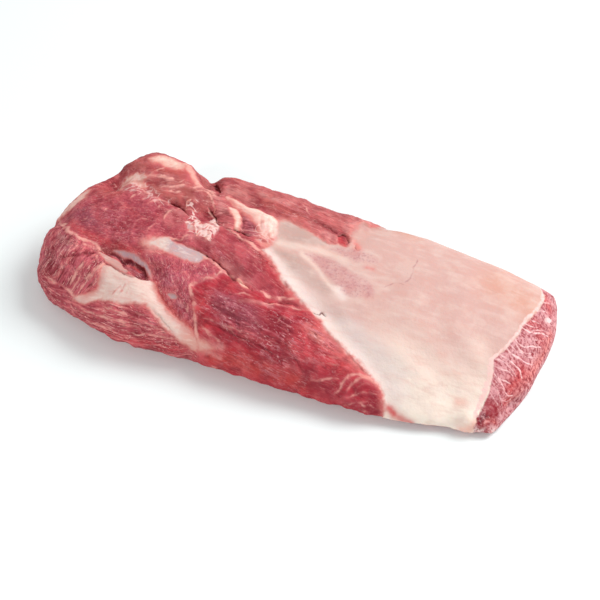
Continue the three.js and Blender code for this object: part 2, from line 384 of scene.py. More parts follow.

# Seams: pale sheets of connective tissue that come to the surface along the muscles' edges, and strings of
# fat in the lean; some rows are pale highlights painted on crumpled and rounded edges. Each has a strength,
# a half width in millimetres and a line.
SEAMS_AND_HIGHLIGHTS = [
    # The thick end.
    (1.0, 1.9, [(57, 219), (64, 226), (70, 232), (77, 236)]),
    (0.9, 1.4, [(74, 235), (82, 239), (92, 242), (98, 247), (104, 252)]),
    (0.6, 2.0, [(84, 244), (93, 247), (100, 253)]),
    (0.7, 0.7, [(41, 265), (44, 270), (47, 275)]),
    (0.9, 0.9, [(49, 278), (53, 281), (57, 284)]),
    (0.9, 1.0, [(60, 284), (67, 289), (73, 294), (79, 300)]),
    (0.9, 0.9, [(70, 284), (74, 276), (79, 268), (84, 262)]),
    (1.0, 1.0, [(80, 290), (86, 281), (92, 272), (98, 265)]),
    (1.0, 1.2, [(88, 282), (94, 273), (100, 267), (106, 262)]),
    (0.8, 0.8, [(84, 293), (92, 286), (98, 278)]),
    (0.7, 0.7, [(58, 276), (62, 268), (68, 262)]),
    (0.7, 0.7, [(70, 292), (76, 284), (80, 277)]),
    (0.8, 0.9, [(99, 252), (97, 257), (98, 262)]),
    (0.6, 0.6, [(62, 271), (66, 263), (71, 256)]),
    (0.6, 0.6, [(67, 244), (71, 236)]),
    (0.6, 0.6, [(73, 248), (78, 240)]),
    (0.6, 0.6, [(78, 278), (82, 270), (88, 262)]),
    # The flap under it.
    (1.0, 0.8, [(82, 309), (92, 313), (102, 316), (112, 319), (122, 321), (130, 323)]),
    (0.9, 0.8, [(103, 306), (110, 309), (118, 312), (126, 314)]),
    (0.8, 0.7, [(70, 307), (80, 311), (90, 316)]),
    (0.8, 0.7, [(120, 324), (130, 325), (140, 328)]),
    (0.8, 0.7, [(88, 322), (100, 326), (112, 329)]),
    (0.7, 0.7, [(140, 320), (152, 325), (164, 331)]),
    (0.8, 0.7, [(128, 333), (138, 335), (148, 334), (158, 336), (168, 338), (180, 339)]),
    (0.6, 0.6, [(135, 312), (146, 315)]),
    # Round the front muscle.
    (0.9, 1.4, [(203, 257), (212, 261), (219, 267), (228, 275)]),
    (0.8, 1.7, [(189, 287), (195, 283), (203, 280), (212, 277), (222, 273), (234, 276)]),
    (0.8, 1.5, [(189, 286), (193, 299), (194, 312), (195, 326), (198, 340)]),
    (0.6, 0.9, [(187, 312), (188, 305), (191, 299)]),
    (0.9, 1.0, [(198, 324), (205, 329), (211, 335), (220, 342)]),
    (0.9, 1.2, [(261, 291), (266, 295), (273, 298), (285, 299), (298, 299)]),
    (0.7, 0.9, [(262, 304), (275, 304), (288, 306), (302, 310)]),
    (0.6, 0.8, [(231, 296), (238, 293), (245, 293), (252, 297)]),
    (0.8, 1.2, [(335, 394), (340, 389), (343, 382), (348, 376), (357, 374), (367, 376)]),
    (0.6, 1.0, [(310, 380), (320, 380), (330, 378), (340, 379)]),
    (0.7, 1.4, [(348, 390), (352, 384), (358, 379), (366, 378), (374, 382), (379, 390)]),
    (0.5, 0.8, [(354, 396), (358, 388), (366, 384), (374, 388)]),
    (0.5, 0.8, [(204, 318), (224, 325), (246, 333)]),
    # Painted highlights on crumpled edges of the front muscle.
    (0.5, 0.5, [(277, 321), (282, 317), (287, 318)]),
    (0.4, 0.4, [(286, 326), (291, 323)]),
    (0.4, 0.5, [(270, 341), (273, 346)]),
    (0.4, 0.5, [(281, 355), (285, 361), (289, 365)]),
    (0.5, 0.6, [(322, 354), (334, 357), (346, 360)]),
    (0.5, 0.6, [(316, 363), (330, 364), (346, 368)]),
    (0.8, 0.6, [(362, 403), (366, 406)]),
    (0.8, 0.6, [(370, 404), (374, 408)]),
    (0.7, 0.5, [(364, 410), (369, 412)]),
    (0.7, 0.5, [(218, 362), (223, 364)]),
    (0.7, 0.5, [(212, 366), (216, 368)]),
    (0.6, 0.7, [(346, 397), (356, 394), (366, 393), (376, 395)]),
    (0.6, 0.7, [(344, 405), (356, 402), (368, 401)]),
    (0.6, 0.6, [(218, 321), (226, 328), (234, 333)]),
    # Round the middle strip and the fat pad.
    (0.6, 1.1, [(164, 221), (168, 213), (175, 210)]),
    (0.7, 0.9, [(174, 210), (181, 209), (187, 213)]),
    # Painted highlights along the tops of the lobes.
    (1.0, 1.2, [(193, 190), (200, 188), (208, 190), (216, 197)]),
    (0.9, 0.9, [(195, 194), (204, 193), (211, 198), (214, 206)]),
    (0.7, 0.8, [(209, 209), (212, 216), (215, 222)]),
    (0.8, 0.8, [(168, 237), (180, 239), (185, 236), (191, 234)]),
    (0.9, 1.3, [(228, 229), (236, 234), (244, 240), (254, 246), (264, 254)]),
    (0.6, 0.7, [(236, 244), (246, 250), (256, 258)]),
    # The peak and the top.
    (0.8, 0.8, [(152, 174), (158, 171), (165, 169)]),
    (1.0, 1.3, [(148, 176), (157, 176), (164, 178), (174, 180)]),
    (1.0, 1.1, [(162, 188), (172, 188), (184, 186)]),
    (0.9, 0.9, [(163, 193), (171, 192), (181, 193)]),
    (0.7, 0.8, [(168, 185), (177, 184), (184, 182)]),
    (0.7, 0.7, [(119, 188), (127, 185), (136, 187)]),
    (0.6, 0.6, [(121, 193), (129, 189), (137, 190), (147, 190)]),
    (0.6, 0.8, [(131, 198), (136, 194), (142, 193)]),
    (0.8, 1.0, [(140, 189), (148, 193), (157, 196)]),
    (0.8, 0.9, [(153, 196), (160, 199), (167, 203), (174, 204)]),
    (0.7, 0.7, [(143, 200), (148, 196), (156, 198)]),
    (0.7, 0.7, [(147, 205), (153, 201), (162, 203)]),
    (0.6, 0.7, [(158, 207), (164, 204), (172, 206)]),
    (0.5, 0.6, [(158, 184), (168, 182), (178, 181), (186, 183)]),
    (0.5, 0.6, [(172, 196), (182, 197), (190, 199)]),
    (0.6, 0.6, [(146, 234), (150, 228), (156, 224)]),
    (0.7, 0.7, [(135, 222), (140, 219), (147, 218)]),
    (0.7, 0.6, [(120, 208), (127, 207)]),
    (0.7, 0.6, [(105, 210), (109, 208)]),
    (0.6, 0.8, [(303, 204), (307, 209), (311, 215)]),
    # A painted highlight at the start of the back strip.
    (0.7, 0.8, [(225, 187), (231, 186), (238, 186)]),
    # Round the hole at the end of the back strip.
    (0.8, 0.5, [(337, 237), (341, 234), (347, 234)]),
    (0.8, 0.5, [(338, 238), (337, 243), (341, 246)]),
]
# Seams on the back wall and round the thick end, out of the photo's sight, in millimetres.
HIDDEN_SEAMS = [
    (0.9, 1.2, [(-118, 70, 24), (-80, 72, 20), (-40, 76, 24), (-5, 78, 18), (25, 78, 22)]),
    (0.8, 0.8, [(-70, 72, 36), (-40, 76, 38), (-12, 77, 34)]),
    (0.8, 0.9, [(-60, 74, 12), (-20, 77, 10), (20, 78, 13), (50, 78, 9)]),
    (0.8, 1.1, [(-183, -20, 24), (-182, 2, 19), (-176, 22, 26)]),
    (0.9, 1.4, [(-172, 30, 30), (-162, 46, 22), (-150, 58, 28), (-136, 68, 22)]),
    (0.8, 0.9, [(-184, -6, 34), (-180, 14, 36), (-172, 30, 42)]),
    (0.8, 0.8, [(-184, -36, 12), (-184, -10, 9), (-178, 12, 12), (-168, 32, 8)]),
    (0.7, 0.7, [(-166, 40, 34), (-158, 48, 42), (-150, 56, 38)]),
]

# Cracks and lobes: the muscles have come apart in places, which leaves sunk cracks, one open slit and
# rounded lobes of lean between them; the cracks' dark is painted shade. Cracks have a strength of their
# painted shade, a half width and a depth in millimetres, and a line.
CRACKS = [
    (1.0, 1.6, 3.0, [(213, 181), (216, 186), (220, 191)]),
    (1.0, 1.2, 2.0, [(170, 203), (177, 205), (183, 209), (189, 215)]),
    (0.9, 0.6, 1.6, [(209, 209), (212, 213), (215, 218), (219, 225)]),
    (0.6, 0.7, 0.8, [(192, 220), (195, 222), (198, 221)]),
    (0.5, 0.5, 0.6, [(187, 219), (190, 221)]),
    # Painted shadows just below the tags.
    (0.7, 0.4, 0.8, [(203, 230), (209, 230), (213, 232)]),
    (0.7, 0.4, 0.8, [(187, 233), (193, 234), (198, 235)]),
    (0.5, 0.3, 0.5, [(190, 226), (195, 228), (199, 227)]),
    (0.5, 0.3, 0.5, [(205, 237), (207, 235), (209, 234)]),
    (0.6, 0.3, 0.6, [(201, 222), (203, 226), (202, 231)]),
    (0.9, 0.9, 2.0, [(233, 229), (238, 231), (242, 231), (248, 235)]),
    (0.8, 0.6, 2.0, [
        (197, 248), (207, 255), (216, 261), (222, 266), (228, 273), (235, 279), (243, 284), (252, 290),
    ]),
    (0.9, 0.7, 0.8, [(126, 260), (134, 263), (142, 269), (147, 276)]),
    (0.7, 0.5, 0.5, [(131, 274), (138, 277), (147, 280)]),
    (0.6, 0.8, 1.0, [(101, 249), (107, 252), (113, 254), (120, 258), (127, 262)]),
    (0.7, 0.4, 0.5, [(101, 259), (108, 264), (116, 270), (125, 275), (134, 278)]),
    (0.6, 0.7, 1.0, [(172, 240), (179, 240), (188, 246), (198, 250)]),
    (0.8, 0.8, 1.6, [(338, 236), (342, 234), (346, 235), (348, 240), (347, 244)]),
    (0.7, 0.5, 1.0, [(314, 221), (322, 225), (330, 229), (337, 233)]),
    (0.8, 0.5, 0.8, [(312, 312), (319, 315), (322, 313), (326, 317)]),
    (0.5, 0.5, 0.6, [(355, 246), (356, 250), (359, 251)]),
    (0.1, 0.5, 0.6, [(262, 214), (260, 222), (262, 232)]),
    (0.1, 0.5, 0.6, [(268, 217), (266, 226), (268, 236)]),
    (0.1, 0.5, 0.5, [(273, 221), (272, 229), (273, 236)]),
    (0.1, 0.5, 0.5, [(236, 205), (246, 212), (254, 217)]),
    (0.2, 0.5, 1.0, [(240, 213), (243, 220), (242, 229)]),
    (0.6, 0.7, 1.2, [(262, 301), (270, 302), (282, 302), (296, 305)]),
    (0.6, 0.5, 0.9, [(204, 322), (222, 329), (240, 337), (258, 344), (272, 354)]),
    (0.5, 0.4, 0.6, [(284, 342), (290, 352), (298, 364), (302, 374)]),
    (0.5, 0.4, 0.6, [(276, 326), (284, 322), (290, 324)]),
    (0.5, 0.6, 0.8, [(60, 257), (72, 256), (84, 254), (96, 252)]),
    (0.4, 0.5, 0.5, [(150, 307), (157, 315), (165, 323), (175, 332)]),
]
SLIT_OUTLINE = [
    (120, 259), (127, 259), (135, 263), (142, 268), (148, 276), (149, 280), (141, 279), (132, 275),
    (125, 268),
]
# The slit's deep red, darkened further as painted shade in the slit's pocket and in the small slit on the
# cut.
SLIT_RED_AND_SHADE = (100, 30, 46)
SLIT_PURPLE = (172, 104, 118)
SLIT_BROWN = (118, 62, 56)
# Lobes have a rise and the softness of the edge in millimetres, and an outline. A thin skin hides some of
# their fibres; one patch of the thick end has that skin alone.
LOBE_SKIN = 0.6
LOBES = [
    (1.6, 3.0, [
        (146, 172), (160, 168), (176, 170), (192, 178), (202, 188), (196, 199), (186, 205), (172, 202),
        (155, 193), (145, 184),
    ]),
    (1.4, 2.0, [
        (193, 191), (203, 189), (212, 193), (216, 200), (213, 209), (205, 214), (198, 210), (193, 200),
    ]),
    (1.2, 2.0, [(219, 202), (227, 207), (234, 216), (236, 226), (227, 226), (219, 221), (214, 210)]),
    (1.2, 1.6, [(166, 213), (176, 210), (186, 215), (184, 226), (172, 230), (163, 224)]),
    (1.0, 1.6, [(322, 232), (330, 233), (337, 238), (335, 243), (326, 241)]),
    (-1.4, 1.4, SLIT_OUTLINE),
    (0.0, 5.0, [(42, 252), (52, 232), (66, 234), (68, 256), (60, 276), (46, 274)]),
    (1.2, 1.6, [(344, 380), (356, 376), (372, 380), (382, 395), (380, 414), (356, 410), (342, 398)]),
]

# The cut: one slice of the knife across the thin end, so the muscle's marbling shows as a net of pale lines.
# The fat cover makes a pale rim along its top edge.
CUT_OUTLINE = [
    (542, 288), (545, 297), (541, 307), (534, 315), (525, 325), (519, 335), (513, 341), (506, 350),
    (499, 355), (494, 362), (493, 373), (490, 385), (487, 398), (481, 411), (476, 421), (478, 440),
    (520, 460), (600, 380), (600, 290), (560, 280),
]
CUT_PINK = (210, 150, 154)
COVER_TIP = (242, 210, 206)
CUT_DARK = (150, 32, 42)
CUT_RED = (196, 66, 66)
CUT_SALMON = (222, 128, 122)
# Lines and rims have a strength, a half width in millimetres and a line; tones are as in the cover.
CUT_LINES = [
    (0.9, 0.4, [(521, 327), (528, 331), (534, 333), (541, 333), (548, 336)]),
    (0.8, 0.25, [(530, 332), (537, 330), (545, 331)]),
    (0.9, 0.4, [(515, 338), (520, 344), (527, 347), (534, 346), (540, 348)]),
    (0.8, 0.25, [(514, 341), (519, 348), (525, 353), (531, 354)]),
    (0.9, 0.4, [(506, 348), (512, 354), (519, 358), (526, 363), (532, 365)]),
    (0.9, 0.4, [(500, 354), (508, 359), (514, 364), (519, 370), (522, 378)]),
    (0.8, 0.25, [(507, 365), (512, 370), (516, 377)]),
    (0.8, 0.25, [(493, 365), (501, 369), (508, 371), (513, 376)]),
    (0.9, 0.3, [(494, 373), (500, 380), (504, 387), (508, 394), (515, 396)]),
    (0.8, 0.25, [(492, 382), (498, 391), (502, 400), (504, 406)]),
    (0.7, 0.25, [(500, 379), (506, 381), (511, 384)]),
    (0.7, 0.25, [(488, 391), (494, 398), (498, 405)]),
    (0.8, 0.25, [(527, 318), (533, 321), (540, 324)]),
    (0.7, 0.25, [(533, 311), (540, 311), (547, 313)]),
    (0.7, 0.25, [(524, 323), (530, 326), (538, 327)]),
    (0.7, 0.25, [(520, 351), (528, 357), (536, 358)]),
    (0.7, 0.25, [(510, 344), (516, 350), (521, 352)]),
    (0.7, 0.25, [(496, 359), (503, 362), (509, 367)]),
    (0.7, 0.25, [(540, 301), (546, 303), (552, 304)]),
    (0.7, 0.25, [(528, 338), (536, 340), (544, 341)]),
    (0.7, 0.25, [(504, 400), (510, 402), (516, 400)]),
    (0.8, 1.5, [(545, 320), (548, 320), (551, 321)]),
]
CUT_RIMS = [
    (0.9, 1.2, [
        (541, 290), (543, 297), (538, 307), (531, 315), (522, 325), (515, 336), (505, 348), (494, 357),
    ]),
    (0.9, 1.8, [(496, 355), (491, 363), (490, 375), (486, 388), (481, 401), (475, 416)]),
]
CUT_TONES = [
    (CUT_RED, 6, 0.7, [(545, 298), (549, 308)]),
    (COVER_TIP, 2.0, 0.9, [(546, 320), (550, 321)]),
    (CUT_RED, 6, 0.6, [(530, 323), (538, 328), (543, 343)]),
    (CUT_SALMON, 5, 0.8, [(551, 335), (546, 350), (538, 363), (530, 378)]),
    (CUT_RED, 7, 0.8, [(512, 388), (518, 380), (522, 372)]),
    (CUT_SALMON, 4, 0.6, [(524, 386), (518, 398), (512, 405)]),
    (CUT_DARK, 5.5, 0.9, [(482, 424), (490, 418), (496, 409)]),
    (CUT_DARK, 3, 0.9, [(486, 403), (494, 405)]),
    (SLIT_RED_AND_SHADE, 2.2, 0.9, [(480, 421), (483, 416), (489, 419)]),
    (CUT_SALMON, 1.6, 0.8, [(486, 422), (492, 420), (496, 424)]),
    (CUT_RED, 4, 0.7, [(508, 404), (512, 400)]),
    (COVER_TIP, 2.6, 0.9, [(474, 430), (484, 431), (496, 431)]),
]

# The muscles: lean beef of long fibres in bundles, each muscle with its own run and redness. Where their
# skin of silver tissue was pulled off, torn shreds of it are left, painted paler with a sheen and glints.
# Each muscle has its colour, the length and width of its flecks in millimetres, its shares of pale flecks,
# dark flecks and streaks, the run of its fibres between two pixels, and its outline.
MUSCLES = [
    ((168, 67, 81), 3.9, 3.2, 0.35, 0.25, 0.65, (90, 215), (170, 232), [
        (57, 221), (100, 184), (118, 181), (172, 204), (200, 250), (104, 250),
    ]),
    ((172, 88, 86), 12.0, 4.0, 0.25, 0.12, 0.55, (130, 172), (195, 185), [
        (118, 179), (124, 160), (160, 140), (215, 170), (214, 190), (187, 213), (172, 204),
    ]),
    ((196, 90, 104), 12.0, 2.6, 1.0, 0.8, 1.0, (95, 257), (82, 279), [
        (56, 222), (20, 240), (36, 264), (78, 298), (103, 280), (104, 252), (84, 241),
    ]),
    ((178, 73, 85), 28.0, 2.8, 0.85, 0.6, 0.9, (75, 307), (150, 330), [
        (36, 264), (20, 290), (90, 360), (190, 380), (192, 350), (150, 307), (78, 298),
    ]),
    ((178, 77, 95), 3.6, 3.2, 0.6, 0.35, 0.7, (165, 262), (180, 310), [
        (104, 250), (200, 258), (226, 273), (190, 286), (194, 340), (150, 283),
    ]),
    ((180, 36, 52), 9.0, 3.6, 0.15, 0.3, 0.3, (220, 310), (300, 352), [
        (190, 286), (226, 273), (253, 290), (310, 312), (384, 395), (384, 440), (200, 400), (194, 340),
    ]),
    ((176, 71, 82), 9.0, 3.6, 0.25, 0.2, 0.3, (205, 240), (270, 285), [
        (172, 204), (228, 230), (281, 278), (308, 310), (253, 290), (200, 255),
    ]),
    ((184, 100, 98), 12.0, 3.6, 0.3, 0.2, 0.6, (230, 186), (330, 222), [
        (215, 175), (300, 190), (384, 215), (384, 224), (347, 247), (279, 221), (227, 200),
    ]),
]
HIDDEN_MUSCLE = ((178, 74, 80), 18.0, 3.4, 0.6, 0.6, 0.9)
BROWN = (184, 82, 74)
PURPLE_AND_SHEEN = (138, 74, 90)
# A purple tone of the lean that also stands in for the grey sheen on the front muscle and near the thick
# end.
BRIGHT = (208, 60, 66)
CRIMSON = (226, 84, 92)
ORANGE_RED = (196, 70, 62)
DEEP_RED_AND_SHADE = (134, 26, 44)
# A deep red of the lean, which also serves as painted shade in grooves, creases, the notch, the hole at the
# back strip's end, the hollows between lumps and along the shaded lower and left edges.
PINK = (206, 96, 104)
MILKY_AND_HIGHLIGHT = (224, 158, 152)
PAD_HOLLOW = (172, 94, 106)
MAUVE = (196, 104, 106)
BROWN_PINK = (170, 86, 81)
# Patches have a colour, the softness of the edge, an amount and an outline; tones are as in the cover.
LEAN_PATCHES = [
    (SLIT_RED_AND_SHADE, 1.0, 1.0, SLIT_OUTLINE),
    (BROWN_PINK, 3.0, 0.8, [
        (146, 175), (160, 178), (178, 180), (194, 187), (197, 197), (187, 204), (174, 203), (160, 197),
        (148, 188),
    ]),
    (BROWN_PINK, 4.0, 0.6, [(122, 174), (130, 162), (146, 158), (150, 172), (134, 174)]),
    (BROWN, 2.0, 0.7, [(153, 170), (166, 170), (184, 172), (186, 177), (172, 176), (156, 175)]),
    (BROWN_PINK, 2.0, 0.7, [(195, 193), (206, 191), (213, 197), (212, 208), (204, 213), (197, 208)]),
    (MAUVE, 2.4, 0.8, [(215, 198), (226, 203), (233, 214), (234, 228), (222, 228), (214, 212)]),
    (MAUVE, 2.0, 0.7, [(165, 215), (174, 211), (185, 214), (185, 224), (172, 229), (164, 224)]),
    (PAD_HOLLOW, 2.4, 0.9, [(241, 216), (250, 219), (257, 226), (259, 234), (248, 235), (241, 228)]),
    (BROWN_PINK, 4.0, 0.7, [(222, 190), (240, 190), (256, 195), (262, 206), (250, 205), (232, 197)]),
    # Painted shade right of the notch.
    (DEEP_RED_AND_SHADE, 2.4, 0.6, [(216, 180), (226, 179), (236, 183), (234, 190), (222, 190)]),
    (BRIGHT, 1.4, 0.8, [(338, 236), (347, 235), (350, 241), (347, 247), (339, 245)]),
    # Painted shadow inside the hole at the end of the back strip.
    (DEEP_RED_AND_SHADE, 1.0, 0.9, [(343, 236), (348, 236), (350, 241), (347, 244), (344, 241)]),
    (MILKY_AND_HIGHLIGHT, 2.0, 0.6, [(322, 233), (330, 233), (337, 238), (335, 244), (326, 242)]),
    (PURPLE_AND_SHEEN, 6.0, 0.7, [(212, 292), (236, 296), (262, 312), (262, 338), (244, 332), (216, 312)]),
    (DEEP_RED_AND_SHADE, 6.0, 0.75, [(256, 318), (284, 318), (300, 340), (306, 372), (290, 372), (268, 348)]),
    (DEEP_RED_AND_SHADE, 4.0, 0.6, [(306, 378), (330, 386), (344, 396), (340, 404), (318, 396)]),
    (DEEP_RED_AND_SHADE, 3.0, 0.6, [(370, 390), (380, 394), (381, 412), (366, 406)]),
    (BRIGHT, 4.0, 0.5, [(322, 344), (340, 350), (360, 368), (366, 374), (340, 372), (322, 362)]),
]
LEAN_TONES = [
    # The top and the thick end.
    (BROWN, 9, 0.7, [(105, 188), (115, 190)]),
    (PURPLE_AND_SHEEN, 9, 0.6, [(82, 212), (92, 222)]),
    (PINK, 4, 0.6, [(66, 216), (76, 208), (88, 200)]),
    (PURPLE_AND_SHEEN, 5, 0.5, [(62, 238), (70, 246)]),
    (DEEP_RED_AND_SHADE, 3, 0.5, [(112, 222), (116, 231)]),
    (BRIGHT, 3.0, 0.6, [(70, 224), (80, 230), (92, 236), (108, 243), (125, 248), (140, 252)]),
    (MILKY_AND_HIGHLIGHT, 3.0, 0.5, [(142, 240), (146, 246), (152, 250)]),
    (DEEP_RED_AND_SHADE, 9, 0.8, [(50, 243), (48, 262), (52, 275)]),
    (DEEP_RED_AND_SHADE, 3, 0.6, [(60, 257), (76, 255), (92, 252)]),
    # Beside the white tendon and along the flap under it.
    (ORANGE_RED, 3.8, 0.9, [(154, 286), (161, 299), (170, 311), (181, 322), (191, 330)]),
    (BRIGHT, 3, 0.9, [(105, 330), (111, 332)]),
    (BRIGHT, 5, 0.6, [(100, 334), (130, 340), (160, 347), (180, 350)]),
    (DEEP_RED_AND_SHADE, 2.4, 0.6, [(150, 309), (160, 320), (172, 332), (182, 344)]),
    # The front muscle.
    (ORANGE_RED, 8, 0.7, [(212, 356), (240, 364), (270, 372), (300, 382)]),
    (BROWN, 3, 0.7, [(214, 368), (250, 380), (290, 394), (330, 404)]),
    (MILKY_AND_HIGHLIGHT, 2.6, 0.6, [(204, 343), (213, 346), (222, 347)]),
    (MILKY_AND_HIGHLIGHT, 1.6, 0.6, [(206, 352), (213, 354), (220, 358)]),
    (BRIGHT, 4, 0.7, [(198, 302), (200, 316), (205, 327)]),
    (MILKY_AND_HIGHLIGHT, 4.0, 0.6, [(308, 326), (316, 334), (326, 344)]),
    (MILKY_AND_HIGHLIGHT, 6.0, 0.5, [(322, 332), (338, 348), (354, 362)]),
    (MILKY_AND_HIGHLIGHT, 2.0, 0.6, [(316, 336), (326, 346), (338, 352)]),
    (CREAM, 2.6, 0.7, [(313, 334), (321, 340)]),
    (MILKY_AND_HIGHLIGHT, 1.6, 0.6, [(334, 356), (342, 358), (350, 362)]),
    (CRIMSON, 6.0, 0.9, [(300, 344), (308, 354), (318, 366)]),
    (MILKY_AND_HIGHLIGHT, 1.6, 0.5, [(240, 300), (252, 301), (262, 304), (272, 306)]),
    (BRIGHT, 8, 0.6, [(318, 330), (330, 347), (345, 360)]),
    (DEEP_RED_AND_SHADE, 7, 0.6, [(310, 374), (324, 384)]),
    # Painted shade along the crease across the front muscle.
    (DEEP_RED_AND_SHADE, 3, 0.6, [(214, 318), (232, 334), (260, 349), (276, 364)]),
    (DEEP_RED_AND_SHADE, 8, 0.6, [(350, 404), (372, 408)]),
    # The middle strip.
    (BRIGHT, 5, 0.6, [(266, 262), (276, 278), (288, 292)]),
    (DEEP_RED_AND_SHADE, 4, 0.5, [(206, 240), (222, 252), (240, 268)]),
    # Round the fat pad and along the back strip.
    (ORANGE_RED, 2.5, 0.7, [(218, 180), (230, 178), (240, 181)]),
    # Painted shade in the groove on the back strip.
    (DEEP_RED_AND_SHADE, 2.5, 0.7, [(252, 190), (258, 200), (266, 212)]),
    (MILKY_AND_HIGHLIGHT, 4.0, 0.9, [(279, 221), (282, 229), (280, 238), (274, 245)]),
    (MILKY_AND_HIGHLIGHT, 1.4, 0.7, [(256, 239), (264, 245), (272, 251)]),
    (MILKY_AND_HIGHLIGHT, 1.4, 0.6, [(262, 238), (270, 244), (276, 248)]),
    (MILKY_AND_HIGHLIGHT, 3.6, 0.45, [(222, 263), (234, 273), (246, 283)]),
    (BROWN, 6, 0.6, [(270, 200), (286, 210), (300, 216)]),
    (DEEP_RED_AND_SHADE, 2.5, 0.6, [(312, 219), (326, 227), (338, 233)]),
    (MILKY_AND_HIGHLIGHT, 5.0, 0.6, [(350, 229), (360, 223), (372, 222), (386, 226)]),
    (MILKY_AND_HIGHLIGHT, 2.0, 0.7, [(354, 226), (362, 221), (368, 223)]),
    # Streaks in the slit and on its upper lip.
    (SLIT_PURPLE, 0.9, 0.9, [(126, 266), (133, 269), (142, 274)]),
    (BRIGHT, 0.7, 0.7, [(127, 264), (134, 267), (140, 271)]),
    (SLIT_PURPLE, 1.6, 0.9, [(111, 255), (116, 256), (122, 259)]),
    (SLIT_BROWN, 2.2, 0.9, [(101, 248), (107, 251), (115, 251)]),
    # Milky skin, and painted highlights on the lobes, over the peak's lobes, the strips beside them and the
    # thick end.
    (MILKY_AND_HIGHLIGHT, 2.6, 0.6, [(150, 177), (160, 177), (172, 180)]),
    (MILKY_AND_HIGHLIGHT, 1.8, 0.6, [(162, 187), (172, 188), (184, 187)]),
    (MILKY_AND_HIGHLIGHT, 2.0, 0.6, [(194, 190), (205, 190), (214, 196)]),
    # Painted highlights on two lobes of the peak.
    (MILKY_AND_HIGHLIGHT, 3.0, 0.5, [(217, 199), (222, 206), (224, 214)]),
    (MILKY_AND_HIGHLIGHT, 3.0, 0.4, [(198, 199), (206, 203)]),
    (MILKY_AND_HIGHLIGHT, 5.0, 0.4, [(228, 191), (238, 193), (248, 199)]),
    (MILKY_AND_HIGHLIGHT, 2.0, 0.6, [(262, 194), (274, 199), (288, 205)]),
    (MILKY_AND_HIGHLIGHT, 2.4, 0.5, [(184, 168), (192, 173), (198, 182)]),
    (MILKY_AND_HIGHLIGHT, 2.0, 0.5, [(120, 187), (130, 188), (140, 190)]),
    (MILKY_AND_HIGHLIGHT, 2.0, 0.5, [(142, 193), (152, 197), (162, 201)]),
    (MILKY_AND_HIGHLIGHT, 2.4, 0.4, [(166, 213), (176, 211), (184, 215)]),
    (MILKY_AND_HIGHLIGHT, 2.4, 0.4, [(186, 236), (200, 238), (212, 242)]),
    (MILKY_AND_HIGHLIGHT, 2.0, 0.5, [(56, 232), (64, 240), (72, 244)]),
]
# Shreds of silver tissue, which also carry painted sheen and glints, have a reach in millimetres, an amount
# and a line.
SILVER_AND_SHEEN = [
    (9, 0.9, [(210, 302), (226, 306), (240, 316)]),
    (10, 1.0, [(232, 322), (250, 332), (264, 344)]),
    (4, 0.7, [(266, 348), (276, 358), (284, 364)]),
    (9, 0.9, [(280, 322), (292, 334), (298, 348)]),
    (7, 0.8, [(306, 322), (316, 334), (326, 346)]),
    (8, 0.4, [(232, 356), (262, 368), (296, 384)]),
    (5, 0.5, [(262, 308), (276, 312), (290, 316)]),
    (6, 0.4, [(316, 360), (334, 366)]),
    (8, 0.7, [(165, 270), (174, 290), (180, 305)]),
    (8, 0.5, [(112, 216), (120, 232)]),
    (6, 0.6, [(160, 320), (166, 328)]),
    (7, 0.5, [(280, 206), (300, 214)]),
    (6, 0.5, [(210, 252), (226, 262)]),
]

# The blade's mesh: the rounded body, fine where it shows and finer still along everything drawn on it,
# so that each seam, crack and edge has its own shape.
FINE_REACH = 2.8
SIGHT_MARGIN = -0.1
CURVE_STEPS = 5
eye_mm = view_eye * MM


# Where the view's line through each pixel meets the meat, in millimetres; off the meat it is nan.
def on_meat(pixels):
    found = []
    for across, down in np.asarray(pixels, dtype=float) - PHOTO_SIDE / 2:
        direction = view_right * (across / view_focal) - view_up * (down / view_focal) - view_back
        hit = skin_tree.ray_cast(eye_mm, direction.normalized())[0]
        found.append(hit if hit is not None else (math.nan,) * 3)
    return np.array(found)


# A smooth line through given points, finely stepped.
def drawn(hand_set, closed=False):
    points = np.array(hand_set, dtype=float)
    ends = (points[-1:], points[:2]) if closed else (points[:1], points[-1:])
    framed = np.concatenate([ends[0], points, ends[1]])
    line = []
    for before, start, end, after in zip(framed[:-3], framed[1:-2], framed[2:-1], framed[3:]):
        for t in np.linspace(0, 1, CURVE_STEPS, endpoint=False):
            bend = (2 * before - 5 * start + 4 * end - after) * t * t
            twist = (3 * start - before - 3 * end + after) * t * t * t
            line.append(0.5 * (2 * start + (end - before) * t + bend + twist))
    line.append(points[0] if closed else points[-1])
    return np.array(line)


# The same line laid on the meat: pixels along the view, points in millimetres on the nearest skin.
def laid(hand_set, closed=False):
    line = drawn(hand_set, closed)
    if line.shape[1] == 2:
        return on_meat(line)
    return np.array([skin_tree.find_nearest(Vector(point))[0] for point in line])


outlined = [COVER_OUTLINE, CUT_OUTLINE] + [row[-1] for row in FAT_PATCHES]
lined = TAGS + SEAMS_AND_HIGHLIGHTS + HIDDEN_SEAMS + LEAN_LINES + CRACKS + CUT_LINES + CUT_RIMS + VEINS
drawn_points = [laid(outline, closed=True) for outline in outlined] + [laid(row[-1]) for row in lined]
drawn_points = np.concatenate(drawn_points)
drawn_points = drawn_points[~np.isnan(drawn_points).any(axis=1)]
drawn_tree = KDTree(len(drawn_points))
for index, point in enumerate(drawn_points):
    drawn_tree.insert(Vector(point), index)
drawn_tree.balance()


def in_view(face):
    return face.normal.dot((view_eye - face.calc_center_median()).normalized()) > SIGHT_MARGIN


def by_a_line(face):
    return drawn_tree.find(face.calc_center_median() * MM)[2] < FINE_REACH


